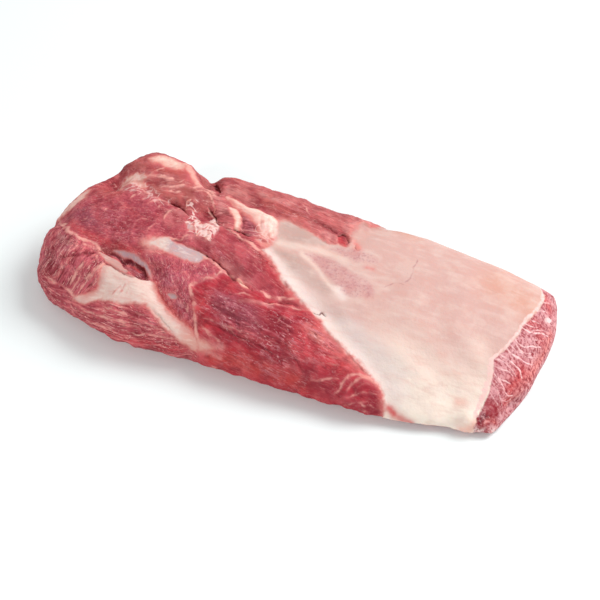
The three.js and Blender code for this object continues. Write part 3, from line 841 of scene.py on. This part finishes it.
def make_finer(bm, wanted):
    edges = dict.fromkeys(edge for face in bm.faces if wanted(face) for edge in face.edges)
    bmesh.ops.subdivide_edges(bm, edges=list(edges), cuts=1, use_grid_fill=True)
    for vert in bm.verts:
        vert.co = skin_tree.find_nearest(vert.co * MM)[0] / MM
    bm.normal_update()


blade_bm = bmesh.new()
blade_bm.from_mesh(blade_mesh)
make_finer(blade_bm, in_view)
make_finer(blade_bm, by_a_line)
cut_flags = np.array([all(face.material_index == 1 for face in v.link_faces) for v in blade_bm.verts])
for face in blade_bm.faces:
    face.material_index = 0
    face.smooth = True
blade_bm.to_mesh(blade_mesh)
blade_bm.free()
blade_mesh.name = "raw_blade"
blade = bpy.data.objects.new("raw_blade", blade_mesh)
scene.collection.objects.link(blade)

# The cover and the cut on the mesh: how deep each spot lies in them, in millimetres. The cover runs on over
# the back wall, out of sight, with a slanting wavy edge, and stops a little above the board.
WANDERS = [(5.5, 0.9), (1.9, 0.4)]
WANDER_SEED = 1
PATCH_REACH = 16.0
SHORTEST_RUN = 1e-9
COVER_BACK_START = 44.0
COVER_BACK_TOP = 46.0
COVER_BACK_SLANT = 1.1
COVER_BACK_FOOT = 7.0
BACK_WAVES = [(26.0, 9.0), (7.0, 4.0)]
HIDDEN_CUT_DEPTH = 4.0


def mesh_vectors(name):
    values = np.empty(len(blade_mesh.vertices) * 3)
    blade_mesh.vertices.foreach_get(name, values)
    return values.reshape(-1, 3)


def to_pixels(points):
    offset = points - np.array(eye_mm)
    depth = -(offset @ np.array(view_back))
    across = view_focal * (offset @ np.array(view_right)) / depth
    down = -view_focal * (offset @ np.array(view_up)) / depth
    return np.stack([across, down], axis=1) + PHOTO_SIDE / 2


# Soft tissue has no ruled edge, so each spot wanders a little before it is compared with what is drawn.
# The seed makes it wander the same way on each run.
def wandered(points):
    noise.seed_set(WANDER_SEED)
    drift = np.zeros_like(points)
    for size, amount in WANDERS:
        drift += amount * np.array([noise.noise_vector(Vector(point) / size) for point in points])
    return points + drift - facings * (drift * facings).sum(axis=1, keepdims=True)


spots = mesh_vectors("co") * MM
facings = mesh_vectors("normal")
loose_spots = wandered(spots)
spot_pixels = to_pixels(loose_spots)
to_eye = np.array(eye_mm) - spots
to_eye /= np.linalg.norm(to_eye, axis=1, keepdims=True)
in_sight = (facings * to_eye).sum(axis=1) > 0.0


# Distance of every spot from a line on the meat, and how far along the line its nearest point is, 0 to 1.
def nearness(line, reach):
    distance = np.full(len(spots), reach)
    along = np.zeros(len(spots))
    whole = line[~np.isnan(line).any(axis=1)]
    if len(whole) == 0:
        return distance, along
    low = whole.min(axis=0) - reach
    high = whole.max(axis=0) + reach
    near = ((loose_spots > low) & (loose_spots < high)).all(axis=1)
    near_spots = loose_spots[near]
    best = np.full(len(near_spots), reach)
    best_along = np.zeros(len(near_spots))
    runs = len(line) - 1
    for i, (start, end) in enumerate(zip(line[:-1], line[1:])):
        if np.isnan(start).any() or np.isnan(end).any():
            continue
        run = end - start
        t = np.clip(((near_spots - start) @ run) / max(run @ run, SHORTEST_RUN), 0, 1)
        away = np.linalg.norm(near_spots - start - t[:, None] * run, axis=1)
        closer = away < best
        best[closer] = away[closer]
        best_along[closer] = (i + t[closer]) / runs
    distance[near] = best
    along[near] = best_along
    return distance, along


def inside_outline(points, outline):
    x, y = points[:, 0], points[:, 1]
    inside = np.zeros(len(points), dtype=bool)
    for (x0, y0), (x1, y1) in zip(outline, np.roll(outline, -1, axis=0)):
        crosses = (y0 > y) != (y1 > y)
        if y1 != y0:
            inside ^= crosses & (x < (x1 - x0) * (y - y0) / (y1 - y0) + x0)
    return inside


# How deep each spot in the view's sight lies inside a drawn patch, in millimetres, below zero outside it.
def patch(pixels):
    distance, _ = nearness(laid(pixels, closed=True), PATCH_REACH)
    inside = inside_outline(spot_pixels, drawn(pixels, closed=True)) & in_sight
    return np.where(inside, distance, -distance)


# Sums of smooth lumps, each of one size and one rise in millimetres.
def lumps(sizes):
    return sum(rise * np.array([noise.noise(Vector(spot) / size) for spot in spots]) for size, rise in sizes)


cover_back_start = COVER_BACK_START + COVER_BACK_SLANT * (COVER_BACK_TOP - spots[:, 2])
cover_behind = np.minimum(spots[:, 0] - cover_back_start, spots[:, 2] - COVER_BACK_FOOT) + lumps(BACK_WAVES)
cover = np.where(in_sight, patch(COVER_OUTLINE), cover_behind)
hidden_cut = np.where(cut_flags, HIDDEN_CUT_DEPTH, -HIDDEN_CUT_DEPTH)
cut = np.where(in_sight, patch(CUT_OUTLINE), hidden_cut)

# Colours of the cover and the cut: a ground, then windows and tones washed over it.
GLOW_END = 2.4


def smooth_step(low, high, values):
    t = np.clip((values - low) / (high - low), 0, 1)
    return t * t * (3 - 2 * t)


# The share of a drawn patch at each spot, with an edge of the given softness in millimetres.
def soft_patch(outline, softness):
    return smooth_step(-softness, softness, patch(outline))


# How near each spot is to a drawn line, from 1 on it to nothing beyond its reach.
def glow(pixels, reach):
    distance, _ = nearness(laid(pixels), GLOW_END * reach)
    return np.clip(np.exp(-((distance / reach) ** 2)) - math.exp(-(GLOW_END ** 2)), 0, 1)


# Light that a colour from 0 to 255 gives back, 0 to 1, by the standard curve of screen colours.
def linear(colour):
    share = np.array(colour) / 255
    return np.where(share <= 0.04045, share / 12.92, ((share + 0.055) / 1.055) ** 2.4)


def ground(colour):
    return np.tile(linear(colour), (len(spots), 1))


def wash(paint, colour, amount):
    paint += (linear(colour) - paint) * amount[:, None]


def wash_tones(paint, tones):
    for colour, reach, amount, pixels in tones:
        wash(paint, colour, amount * glow(pixels, reach))


cover_paint = ground(COVER)
windows = np.zeros(len(spots))
for colour, softness, amount, outline in COVER_WINDOWS:
    share = soft_patch(outline, softness)
    wash(cover_paint, colour, amount * share)
    if colour == COVER_MAUVE:
        windows = np.maximum(windows, share)
wash_tones(cover_paint, COVER_TONES)
cut_paint = ground(CUT_PINK)
wash_tones(cut_paint, CUT_TONES)

# Fat, tags, seams and cracks on the mesh: the share of each at every spot, the fat's colour and rise, and
# the halo of thin pink tissue round them. Lines have an uneven width and narrow towards their ends.
STROKE_REACH = 14.0
STROKE_SWING = 0.7
STROKE_WAVE = 3.5
LINE_NARROWING = 0.6
TAG_NARROWING = 0.3
CUT_NARROWING = 0.4
RIM_NARROWING = 0.2
LINE_SOFTNESS = 0.9
SEAM_SOFTNESS = 1.1
CUT_SOFTNESS = 0.7
LEAN_SOFTNESS = 1.5
SLIT_SOFTNESS = 1.0
TAG_FIRMNESS = 1.0
PAINT_OVERRUN = 2.0
FAT_HALO = 7.0
SEAM_HALO = 2.2

stroke_swing = 1 + STROKE_SWING * lumps([(STROKE_WAVE, 1.0)])


# How deep each spot lies inside a drawn stroke, in millimetres, and below zero outside it.
def stroke(hand_set, half_width, narrowing=LINE_NARROWING):
    distance, along = nearness(laid(hand_set), STROKE_REACH)
    return half_width * stroke_swing * (1 - narrowing * np.abs(2 * along - 1) ** 3) - distance


def line_share(rows, narrowing=LINE_NARROWING, softness=LINE_SOFTNESS):
    share = np.zeros(len(spots))
    for strength, half_width, *_, hand_set in rows:
        layer = stroke(hand_set, half_width, narrowing)
        share = np.maximum(share, strength * smooth_step(-softness, softness, layer))
    return share


fat_paint = ground(WHITE)
fat = np.zeros(len(spots))
fat_relief = np.zeros(len(spots))
halo = np.zeros(len(spots))
fat_layers = [(*row[:4], patch(row[4])) for row in FAT_PATCHES]
fat_layers += [(*row[:4], stroke(row[5], row[4])) for row in FAT_BANDS]
for *_, layer in fat_layers:
    halo = np.maximum(halo, smooth_step(-FAT_HALO, 0, layer))
for colour, half_width, rise, pixels in TAGS:
    layer = stroke(pixels, half_width, TAG_NARROWING)
    fat_layers.append((colour, LINE_SOFTNESS, TAG_FIRMNESS, rise, layer))
for colour, softness, firmness, rise, layer in fat_layers:
    share = smooth_step(-softness, softness, layer)
    wash(fat_paint, colour, smooth_step(-PAINT_OVERRUN * softness, 0, layer))
    fat = np.maximum(fat, firmness * share)
    fat_relief = np.maximum(fat_relief, rise * share)
wash_tones(fat_paint, FAT_TONES)
crumple = np.zeros(len(spots))
for softness, amount, outline in CRUMPLES:
    crumple = np.maximum(crumple, amount * soft_patch(outline, softness))
slit = soft_patch(SLIT_OUTLINE, SLIT_SOFTNESS)
fat *= 1 - slit
for half_width, pixels in LEAN_LINES:
    fat *= 1 - LEAN_SHOWS * smooth_step(-LEAN_SOFTNESS, LEAN_SOFTNESS, stroke(pixels, half_width))
seam_and_highlight = line_share(SEAMS_AND_HIGHLIGHTS + HIDDEN_SEAMS, softness=SEAM_SOFTNESS)
for strength, half_width, hand_set in SEAMS_AND_HIGHLIGHTS + HIDDEN_SEAMS:
    halo = np.maximum(halo, strength * smooth_step(-SEAM_HALO, 0, stroke(hand_set, half_width)))
halo *= 1 - slit
crack_shade = line_share(CRACKS)
cut_line = line_share(CUT_LINES, CUT_NARROWING, CUT_SOFTNESS)
cut_rim = line_share(CUT_RIMS, RIM_NARROWING, CUT_SOFTNESS)
vein = line_share(VEINS)

# The lean on the mesh: each spot gets its muscle's colour, flecks and run of fibres. Colours run softly into
# each other, fibres fade out where two muscles meet, the hollows between the lumps get painted shade and
# their crests painted light.
MUSCLE_SHIFT = 37.0
BLUR_STEPS = 24
BLUR_SHARE = 0.5
BORDER_STEPS = 5
LEAN_LUMPS = [(13.0, 1.2), (6.0, 0.9), (3.2, 0.4)]
HALO_SHARE = 0.6
HOLLOW_SHADE_SHARE = 0.55
HOLLOW_FROM, HOLLOW_TO = 0.1, -0.9
CREST_LIGHT_SHARE = 0.3
CREST_FROM, CREST_TO = 0.2, 0.9

hidden_number = len(MUSCLES)
muscle_numbers = np.full(len(spots), hidden_number)
muscle_axes = []
for number, (*_, start, end, outline) in enumerate(MUSCLES):
    inside = inside_outline(spot_pixels, np.array(outline, dtype=float)) & in_sight
    inside &= muscle_numbers == hidden_number
    muscle_numbers[inside] = number
    ends = on_meat([start, end])
    along = (ends[1] - ends[0]) / np.linalg.norm(ends[1] - ends[0])
    side = np.cross(facings[inside].mean(axis=0), along)
    side /= np.linalg.norm(side)
    muscle_axes.append(np.stack([along, side, np.cross(along, side)]))
muscle_axes.append(np.eye(3))
grain = np.zeros((len(spots), 3))
pale_flecks = np.zeros(len(spots))
dark_flecks = np.zeros(len(spots))
bare_fibres = np.zeros(len(spots))
lean_paint = np.zeros((len(spots), 3))
for number, (axes, muscle) in enumerate(zip(muscle_axes, MUSCLES + [HIDDEN_MUSCLE])):
    mine = muscle_numbers == number
    colour, length, width, pale, dark, streaky = muscle[:6]
    grain[mine] = spots[mine] @ axes.T / (length, width, width) + MUSCLE_SHIFT * number
    pale_flecks[mine] = pale
    dark_flecks[mine] = dark
    bare_fibres[mine] = streaky
    lean_paint[mine] = linear(colour)

edge_ends = np.empty(len(blade_mesh.edges) * 2, dtype=int)
blade_mesh.edges.foreach_get("vertices", edge_ends)
edge_ends = edge_ends.reshape(-1, 2)
edge_from = np.concatenate([edge_ends[:, 0], edge_ends[:, 1]])
edge_to = np.concatenate([edge_ends[:, 1], edge_ends[:, 0]])
edge_counts = np.bincount(edge_from, minlength=len(spots))


def neighbour_mean(values):
    return np.bincount(edge_from, values[edge_to], len(spots)) / edge_counts


for _ in range(BLUR_STEPS):
    for channel in range(3):
        change = neighbour_mean(lean_paint[:, channel]) - lean_paint[:, channel]
        lean_paint[:, channel] += BLUR_SHARE * change
border = np.zeros(len(spots))
border[edge_from[muscle_numbers[edge_from] != muscle_numbers[edge_to]]] = 1
for _ in range(BORDER_STEPS):
    border = np.maximum(border, neighbour_mean(border))

lean_lumps = lumps(LEAN_LUMPS)
wash(lean_paint, PINK, HALO_SHARE * halo)
for colour, softness, amount, outline in LEAN_PATCHES:
    wash(lean_paint, colour, amount * soft_patch(outline, softness))
wash_tones(lean_paint, LEAN_TONES)
# Painted shade darkens the hollows between the lumps, and painted light brightens their crests.
wash(lean_paint, DEEP_RED_AND_SHADE, HOLLOW_SHADE_SHARE * smooth_step(HOLLOW_FROM, HOLLOW_TO, lean_lumps))
wash(lean_paint, PINK, CREST_LIGHT_SHARE * smooth_step(CREST_FROM, CREST_TO, lean_lumps))
silver_and_sheen = np.zeros(len(spots))
for reach, amount, pixels in SILVER_AND_SHEEN:
    silver_and_sheen = np.maximum(silver_and_sheen, amount * glow(pixels, reach))

# The relief: fat stands proud, seams a little, cracks are sunk, and lean is lumpy and ridged along its
# fibres. The tip of the cover and the peak's flanks swell out, and the meat falls in at the foot of the
# cut, beside the peak, on the thick end and where its flap meets the front muscle.
SEAM_RISE = 0.35
RIDGE_RISE = 0.3
COVER_RISE = 0.25
COVER_SLOPE_FROM, COVER_SLOPE_TO = -1, 2
CUT_SLOPE_FROM, CUT_SLOPE_TO = -1, 0
COVER_LUMPS = [(18.0, 0.5), (7.0, 0.15)]
CRACK_SLOPE = 1.5
RESTING_LOW = 0.5
RESTING_HIGH = 4.0
# Swells have a pixel, a reach and a rise in millimetres.
SWELLS = [
    ((468, 420), 8.0, 4.0),
    ((514, 407), 10.0, -5.0),
    ((113, 181), 9.0, -9.0),
    ((128, 168), 7.0, 2.5),
    ((190, 171), 9.0, 3.0),
    ((190, 355), 7.0, -4.5),
    ((50, 241), 11.0, -5.0),
]

cover_share = smooth_step(COVER_SLOPE_FROM, COVER_SLOPE_TO, cover)
cut_share = smooth_step(CUT_SLOPE_FROM, CUT_SLOPE_TO, cut)
lean_share = (1 - cover_share) * (1 - np.minimum(fat, 1)) * (1 - cut_share)
fibre_share = lean_share * (1 - border)
ridges = np.array([noise.noise(Vector(spot)) for spot in grain])
relief = fat_relief + SEAM_RISE * seam_and_highlight + COVER_RISE * cover_share * (1 - cut_share)
relief += lean_share * lean_lumps + (1 - lean_share) * lumps(COVER_LUMPS) + RIDGE_RISE * ridges * fibre_share
for rise, softness, outline in LOBES:
    share = soft_patch(outline, softness)
    relief += rise * share
    bare_fibres *= 1 - LOBE_SKIN * share
for _, half_width, depth, pixels in CRACKS:
    relief -= depth * smooth_step(-CRACK_SLOPE * half_width, half_width, stroke(pixels, half_width))
for pixel, reach, rise in SWELLS:
    middle = on_meat([pixel])[0]
    relief += rise * np.exp(-((np.linalg.norm(spots - middle, axis=1) / reach) ** 2))
resting = smooth_step(RESTING_LOW, RESTING_HIGH, spots[:, 2])
spots = spots + facings * (relief * resting)[:, None]
spots[:, 2] = np.maximum(spots[:, 2], 0)
blade_mesh.vertices.foreach_set("co", (spots / MM).ravel())
blade_mesh.update()

# The raw beef's finish: moist lean, then fat, seams, cover, cut and cracks, laid over each other in coats.
# A broken coat lets the one below show through, as thin tissue does, and clear juice gives a soft gloss.
# The juice film's colour is a pale sheen painted into the colour; the gloss is the shader's own coat.
JUICE_SHEEN_SHARE = 0.025
JUICE_SHEEN = (230, 200, 204)
JUICE_GLOSS = 0.14
JUICE_ROUGHNESS = 0.2
JUICE_IOR = 1.4
LEAN_ROUGHNESS = 0.3
COVER_ROUGHNESS = 0.42
DEEP_LIGHT = 0.12
DEEP_LIGHT_REACH = (0.004, 0.0015, 0.001)
BUMP_STRENGTH = 0.8
BUMP_DEPTH = 0.0015
STREAK_HEIGHT = 0.5
SHRED_HEIGHT = 0.8
SPECK_HEIGHT = 0.25

meat = bpy.data.materials.new("raw_beef")
meat.use_nodes = True
nodes = meat.node_tree.nodes
links = meat.node_tree.links
shader = nodes["Principled BSDF"]


# Keeps a value for every spot on the mesh, and gives the socket by which the finish reads it.
def spread(name, values, output="Fac"):
    kind, field = ("FLOAT", "value") if values.ndim == 1 else ("FLOAT_VECTOR", "vector")
    layer = blade_mesh.attributes.new(name, kind, "POINT")
    layer.data.foreach_set(field, values.astype(np.float32).ravel())
    made = nodes.new("ShaderNodeAttribute")
    made.attribute_name = name
    return made.outputs[output]


def set_input(socket, value):
    if isinstance(value, bpy.types.NodeSocket):
        links.new(value, socket)
    else:
        socket.default_value = value


def reckon(operation, *values):
    made = nodes.new("ShaderNodeMath")
    made.operation = operation
    for socket, value in zip(made.inputs, values):
        set_input(socket, value)
    return made.outputs[0]


def by_share(mask, share):
    return reckon("MULTIPLY", mask, share)


def ramp(value, low, high, start=0.0, end=1.0):
    made = nodes.new("ShaderNodeMapRange")
    made.interpolation_type = "SMOOTHSTEP"
    links.new(value, made.inputs["Value"])
    made.inputs["From Min"].default_value = low
    made.inputs["From Max"].default_value = high
    made.inputs["To Min"].default_value = start
    made.inputs["To Max"].default_value = end
    return made.outputs["Result"]


# Soft noise about 0.5. Its fineness is one number, or one for each of the three ways of the place.
def cloud(place, fineness, detail=3.0, roughness=0.55, swirl=0.0):
    mapping = nodes.new("ShaderNodeMapping")
    links.new(place, mapping.inputs["Vector"])
    mapping.inputs["Scale"].default_value = fineness if isinstance(fineness, tuple) else (fineness,) * 3
    made = nodes.new("ShaderNodeTexNoise")
    links.new(mapping.outputs["Vector"], made.inputs["Vector"])
    made.inputs["Scale"].default_value = 1.0
    made.inputs["Detail"].default_value = detail
    made.inputs["Roughness"].default_value = roughness
    made.inputs["Distortion"].default_value = swirl
    return made.outputs["Fac"]


# A cloud stretched to run from -1 to 1; it is full at this distance from its middle.
def swing(pattern, distance):
    return ramp(pattern, 0.5 - distance, 0.5 + distance, -1.0, 1.0)


# How far a cloud is from its middle: thin wavy threads run where that is nothing.
def gap(pattern):
    return reckon("ABSOLUTE", reckon("SUBTRACT", pattern, 0.5))


def coat(share, under, over):
    made = nodes.new("ShaderNodeMix")
    made.data_type = "RGBA"
    set_input(made.inputs["Factor"], share)
    set_input(made.inputs["A"], under)
    set_input(made.inputs["B"], (*linear(over), 1) if isinstance(over, tuple) else over)
    return made.outputs["Result"]


# Lays coats over a colour. Each has a pattern, the values where it starts and where it is full, its amount,
# the share that holds it back, or None, and its colour.
def coated(under, coats):
    for pattern, start, full, amount, share, tint in coats:
        mask = ramp(pattern, start, full, 0.0, amount)
        under = coat(mask if share is None else by_share(mask, share), under, tint)
    return under


# The share of a coat, broken up by an uneven pattern.
def broken(share, pattern, wander, low, high):
    return ramp(by_share(reckon("MULTIPLY_ADD", pattern, wander, 1.0), share), low, high)


# Patterns on the meat have their fineness per metre, those on the grain per length and width of a fleck.
meat_place = nodes.new("ShaderNodeTexCoord").outputs["Object"]
grain_place = spread("grain", grain, "Vector")
blotch = cloud(meat_place, 70.0)
speck = cloud(meat_place, 480.0)
patchy = swing(cloud(meat_place, 150.0, detail=4.0), 0.16)
ragged = swing(cloud(meat_place, 300.0, detail=4.0), 0.18)

# The lean: dark and pale streaks and flecks along its fibres, threads between its bundles, shreds of
# silver tissue painted partly as sheen, small dark pits and pale glints painted as highlights, and over all
# a pale film painted as a sheen.
LEAN_DARK = (138, 28, 42)
LEAN_PALE = (212, 92, 94)
STREAK_DARK = (122, 14, 28)
STREAK_PALE = (222, 112, 110)
FLECK_DARK = (118, 16, 28)
FLECK_PALE = (230, 132, 130)
THREAD_DARK = (104, 12, 24)
THREAD_PALE = (242, 180, 172)
SHRED_DARK = (112, 26, 42)
SHRED_PALE = (204, 124, 134)
# The shreds' pale edges are painted glints.
SHRED_EDGE_GLINT = (222, 150, 156)
SPECK_PALE = (230, 150, 150)
# Painted highlights: pale glints in the colour, with dark pits beside them.
PAINTED_GLINT = (238, 178, 180)
GLINT_PIT = (104, 16, 30)
GLINT_ALL_OVER = 0.12

fleck = cloud(grain_place, 1.0, roughness=0.5)
bundle = cloud(grain_place, (0.5, 0.6, 0.6), detail=2.0)
fibre = cloud(grain_place, (0.4, 1.3, 1.3))
streak = cloud(grain_place, (1.6, 3.2, 3.2), detail=2.0)
shred = cloud(grain_place, (0.45, 1.1, 1.1), detail=4.0, roughness=0.62, swirl=0.8)
shred_edge_glint = gap(cloud(grain_place, (1.1, 1.0, 1.0), detail=2.0))
glint = cloud(grain_place, (1.8, 2.0, 2.0), roughness=0.6, swirl=1.2)
bare_here = spread("bare_fibres", bare_fibres)
pale_here = spread("pale_flecks", pale_flecks)
dark_here = spread("dark_flecks", dark_flecks)
silver_and_sheen_here = spread("silver_and_sheen", silver_and_sheen)
pale_thread_share = by_share(pale_here, ramp(bundle, low=0.42, high=0.56))
dark_thread_share = by_share(dark_here, ramp(fibre, low=0.4, high=0.55))
shred_edge_glint_share = by_share(silver_and_sheen_here, ramp(shred, low=0.45, high=0.56, end=0.7))
glint_share = reckon("ADD", silver_and_sheen_here, GLINT_ALL_OVER)
meat_colour = coated(spread("lean_paint", lean_paint, "Color"), [
    (blotch, 0.5, 0.66, 0.35, None, LEAN_DARK),
    (blotch, 0.5, 0.36, 0.25, None, LEAN_PALE),
    (streak, 0.47, 0.3, 0.65, bare_here, STREAK_DARK),
    (streak, 0.53, 0.72, 0.55, bare_here, STREAK_PALE),
    (fleck, 0.48, 0.3, 1.0, dark_here, FLECK_DARK),
    (fleck, 0.52, 0.72, 0.9, pale_here, FLECK_PALE),
    (gap(fibre), 0.025, 0.0, 1.0, pale_thread_share, THREAD_PALE),
    (gap(bundle), 0.025, 0.0, 1.0, dark_thread_share, THREAD_DARK),
    (shred, 0.48, 0.36, 0.75, silver_and_sheen_here, SHRED_DARK),
    (shred, 0.52, 0.66, 0.8, silver_and_sheen_here, SHRED_PALE),
    (shred_edge_glint, 0.018, 0.0, 1.0, shred_edge_glint_share, SHRED_EDGE_GLINT),
    (speck, 0.52, 0.7, 0.3, pale_here, SPECK_PALE),
    (glint, 0.44, 0.3, 0.7, glint_share, GLINT_PIT),
    (glint, 0.56, 0.72, 0.75, glint_share, PAINTED_GLINT),
])
# A painted sheen: a pale film washed over the lean's colour.
meat_colour = coat(JUICE_SHEEN_SHARE, meat_colour, JUICE_SHEEN)

# Fat and seams, some seams being painted highlights: white strings with pinker ones between them, frayed
# at the edge into a thin pink film, and the crumpled film's folds, pale crests as painted highlights with
# painted shade between.
FAT_SPECK = (222, 160, 150)
FAT_SHADE = (214, 178, 170)
FAT_PINK_STRING = (222, 158, 148)
FAT_WHITE_STRING = (246, 226, 216)
FAT_FILM = (214, 118, 112)
SEAM_AND_HIGHLIGHT_PINK = (230, 162, 152)
FOLD_HIGHLIGHT = (240, 206, 200)
FOLD_SHADE = (176, 92, 98)
TORN_MIX = 0.5

fray = swing(cloud(grain_place, (1.2, 1.6, 1.6)), 0.18)
torn = reckon("MULTIPLY_ADD", fray, TORN_MIX, by_share(ragged, 1 - TORN_MIX))
fat_here = spread("fat", fat)
fat_colour = coated(spread("fat_paint", fat_paint, "Color"), [
    (speck, 0.5, 0.7, 0.3, None, FAT_SPECK),
    (blotch, 0.5, 0.66, 0.3, None, FAT_SHADE),
    (fray, 0.2, 1.0, 0.35, None, FAT_PINK_STRING),
    (fray, -0.2, -1.0, 0.3, None, FAT_WHITE_STRING),
])
meat_colour = coat(broken(fat_here, torn, wander=0.3, low=0.02, high=0.75), meat_colour, FAT_FILM)
meat_colour = coat(broken(fat_here, torn, wander=0.3, low=0.2, high=1.05), meat_colour, fat_colour)
seam_and_highlight_share = broken(spread("seam_and_highlight", seam_and_highlight), patchy, wander=0.5, low=0.1, high=1.2)
meat_colour = coat(seam_and_highlight_share, meat_colour, SEAM_AND_HIGHLIGHT_PINK)
fold = gap(cloud(meat_place, 125.0, detail=1.5, roughness=0.5, swirl=0.8))
crumple_here = spread("crumple", crumple)
# The folds' pale crests are painted highlights and the dull pink between them is painted shade.
meat_colour = coated(meat_colour, [
    (fold, 0.06, 0.14, 0.45, crumple_here, FOLD_SHADE),
    (fold, 0.06, 0.015, 0.85, crumple_here, FOLD_HIGHLIGHT),
])

# The cover: waxy fat with fine wrinkles along the blade, faint veins and a pale rim along the cut. It thins
# out to a pink film at its edge.
WRINKLE_DARK = (212, 154, 140)
WRINKLE_PALE = (240, 220, 210)
COVER_BLOTCH = (222, 198, 188)
WINDOW_SPECK = (166, 108, 114)
VEIN_GREY = (184, 140, 138)
RIM_PALE = (240, 200, 194)
COVER_FILM = (214, 126, 120)
COVER_FEATHER = 0.9
FILM_AMOUNT = 0.75

wrinkle = cloud(meat_place, (60.0, 220.0, 220.0), detail=4.0)
cover_here = spread("cover", cover)
cover_colour = coated(spread("cover_paint", cover_paint, "Color"), [
    (wrinkle, 0.48, 0.68, 0.22, None, WRINKLE_DARK),
    (wrinkle, 0.5, 0.32, 0.15, None, WRINKLE_PALE),
    (blotch, 0.45, 0.65, 0.3, None, COVER_BLOTCH),
    (speck, 0.5, 0.64, 0.35, spread("windows", windows), WINDOW_SPECK),
])
vein_share = broken(spread("vein", vein), patchy, wander=0.5, low=0.1, high=1.2)
cover_colour = coat(vein_share, cover_colour, VEIN_GREY)
rim_share = broken(spread("cut_rim", cut_rim), ragged, wander=0.4, low=0.1, high=1.1)
cover_colour = coat(rim_share, cover_colour, RIM_PALE)
feathered = reckon("MULTIPLY_ADD", patchy, COVER_FEATHER, cover_here)
no_fat = ramp(fat_here, low=0.1, high=0.7, start=1.0, end=0.0)
film_share = by_share(ramp(feathered, low=-5.0, high=1.5, end=FILM_AMOUNT), no_fat)
meat_colour = coat(film_share, meat_colour, COVER_FILM)
meat_colour = coat(ramp(feathered, low=-1.6, high=3.0), meat_colour, cover_colour)

# The cut and the cracks: ends of fibres as dark and pale grit with the marbling's pale net over it,
# and painted shade in the cracks.
GRIT_DARK = (150, 52, 60)
GRIT_PALE = (232, 178, 178)
CUT_BLOTCH = (178, 96, 104)
CUT_SPECK_DARK = (136, 40, 50)
CUT_SPECK_PALE = (232, 170, 168)
MARBLING = (246, 202, 201)
CRACK_SHADE = (96, 18, 24)
CUT_FRAY = 0.4

grit = cloud(meat_place, (230.0, 400.0, 300.0), detail=4.0, roughness=0.6)
cut_colour = coated(spread("cut_paint", cut_paint, "Color"), [
    (grit, 0.52, 0.37, 0.85, None, GRIT_DARK),
    (grit, 0.56, 0.7, 0.55, None, GRIT_PALE),
    (blotch, 0.48, 0.62, 0.35, None, CUT_BLOTCH),
    (speck, 0.5, 0.36, 0.6, None, CUT_SPECK_DARK),
    (speck, 0.54, 0.68, 0.3, None, CUT_SPECK_PALE),
])
marbling_share = broken(spread("cut_line", cut_line), ragged, wander=0.4, low=0.05, high=0.8)
cut_colour = coat(marbling_share, cut_colour, MARBLING)
cut_edge = reckon("MULTIPLY_ADD", ragged, CUT_FRAY, spread("cut", cut))
meat_colour = coat(ramp(cut_edge, low=-0.8, high=0.8), meat_colour, cut_colour)
# Painted shade in the cracks.
crack_shade_share = broken(spread("crack_shade", crack_shade), ragged, wander=0.3, low=0.1, high=1.0)
meat_colour = coat(crack_shade_share, meat_colour, CRACK_SHADE)

# The finish goes to the shader, and fibres, shreds and specks give it a fine bump.
moist_roughness = ramp(cover_here, low=-1.0, high=1.0, start=LEAN_ROUGHNESS, end=COVER_ROUGHNESS)
links.new(meat_colour, shader.inputs["Base Color"])
links.new(moist_roughness, shader.inputs["Roughness"])
shader.inputs["Specular IOR Level"].default_value = 0.0
shader.inputs["Coat Weight"].default_value = JUICE_GLOSS
shader.inputs["Coat Roughness"].default_value = JUICE_ROUGHNESS
shader.inputs["Coat IOR"].default_value = JUICE_IOR
shader.inputs["Subsurface Weight"].default_value = DEEP_LIGHT
shader.inputs["Subsurface Radius"].default_value = DEEP_LIGHT_REACH
shader.inputs["Subsurface Scale"].default_value = 1.0
fibres = by_share(spread("fibre_share", fibre_share), bare_here)
height = by_share(reckon("MULTIPLY_ADD", streak, STREAK_HEIGHT, fleck), fibres)
height = reckon("MULTIPLY_ADD", by_share(shred, silver_and_sheen_here), SHRED_HEIGHT, height)
height = reckon("MULTIPLY_ADD", speck, SPECK_HEIGHT, height)
bump = nodes.new("ShaderNodeBump")
bump.inputs["Strength"].default_value = BUMP_STRENGTH
bump.inputs["Distance"].default_value = BUMP_DEPTH
links.new(height, bump.inputs["Height"])
links.new(bump.outputs["Normal"], shader.inputs["Normal"])
links.new(bump.outputs["Normal"], shader.inputs["Coat Normal"])
blade_mesh.materials.clear()
blade_mesh.materials.append(meat)
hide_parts("blade")
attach(blade, "root")
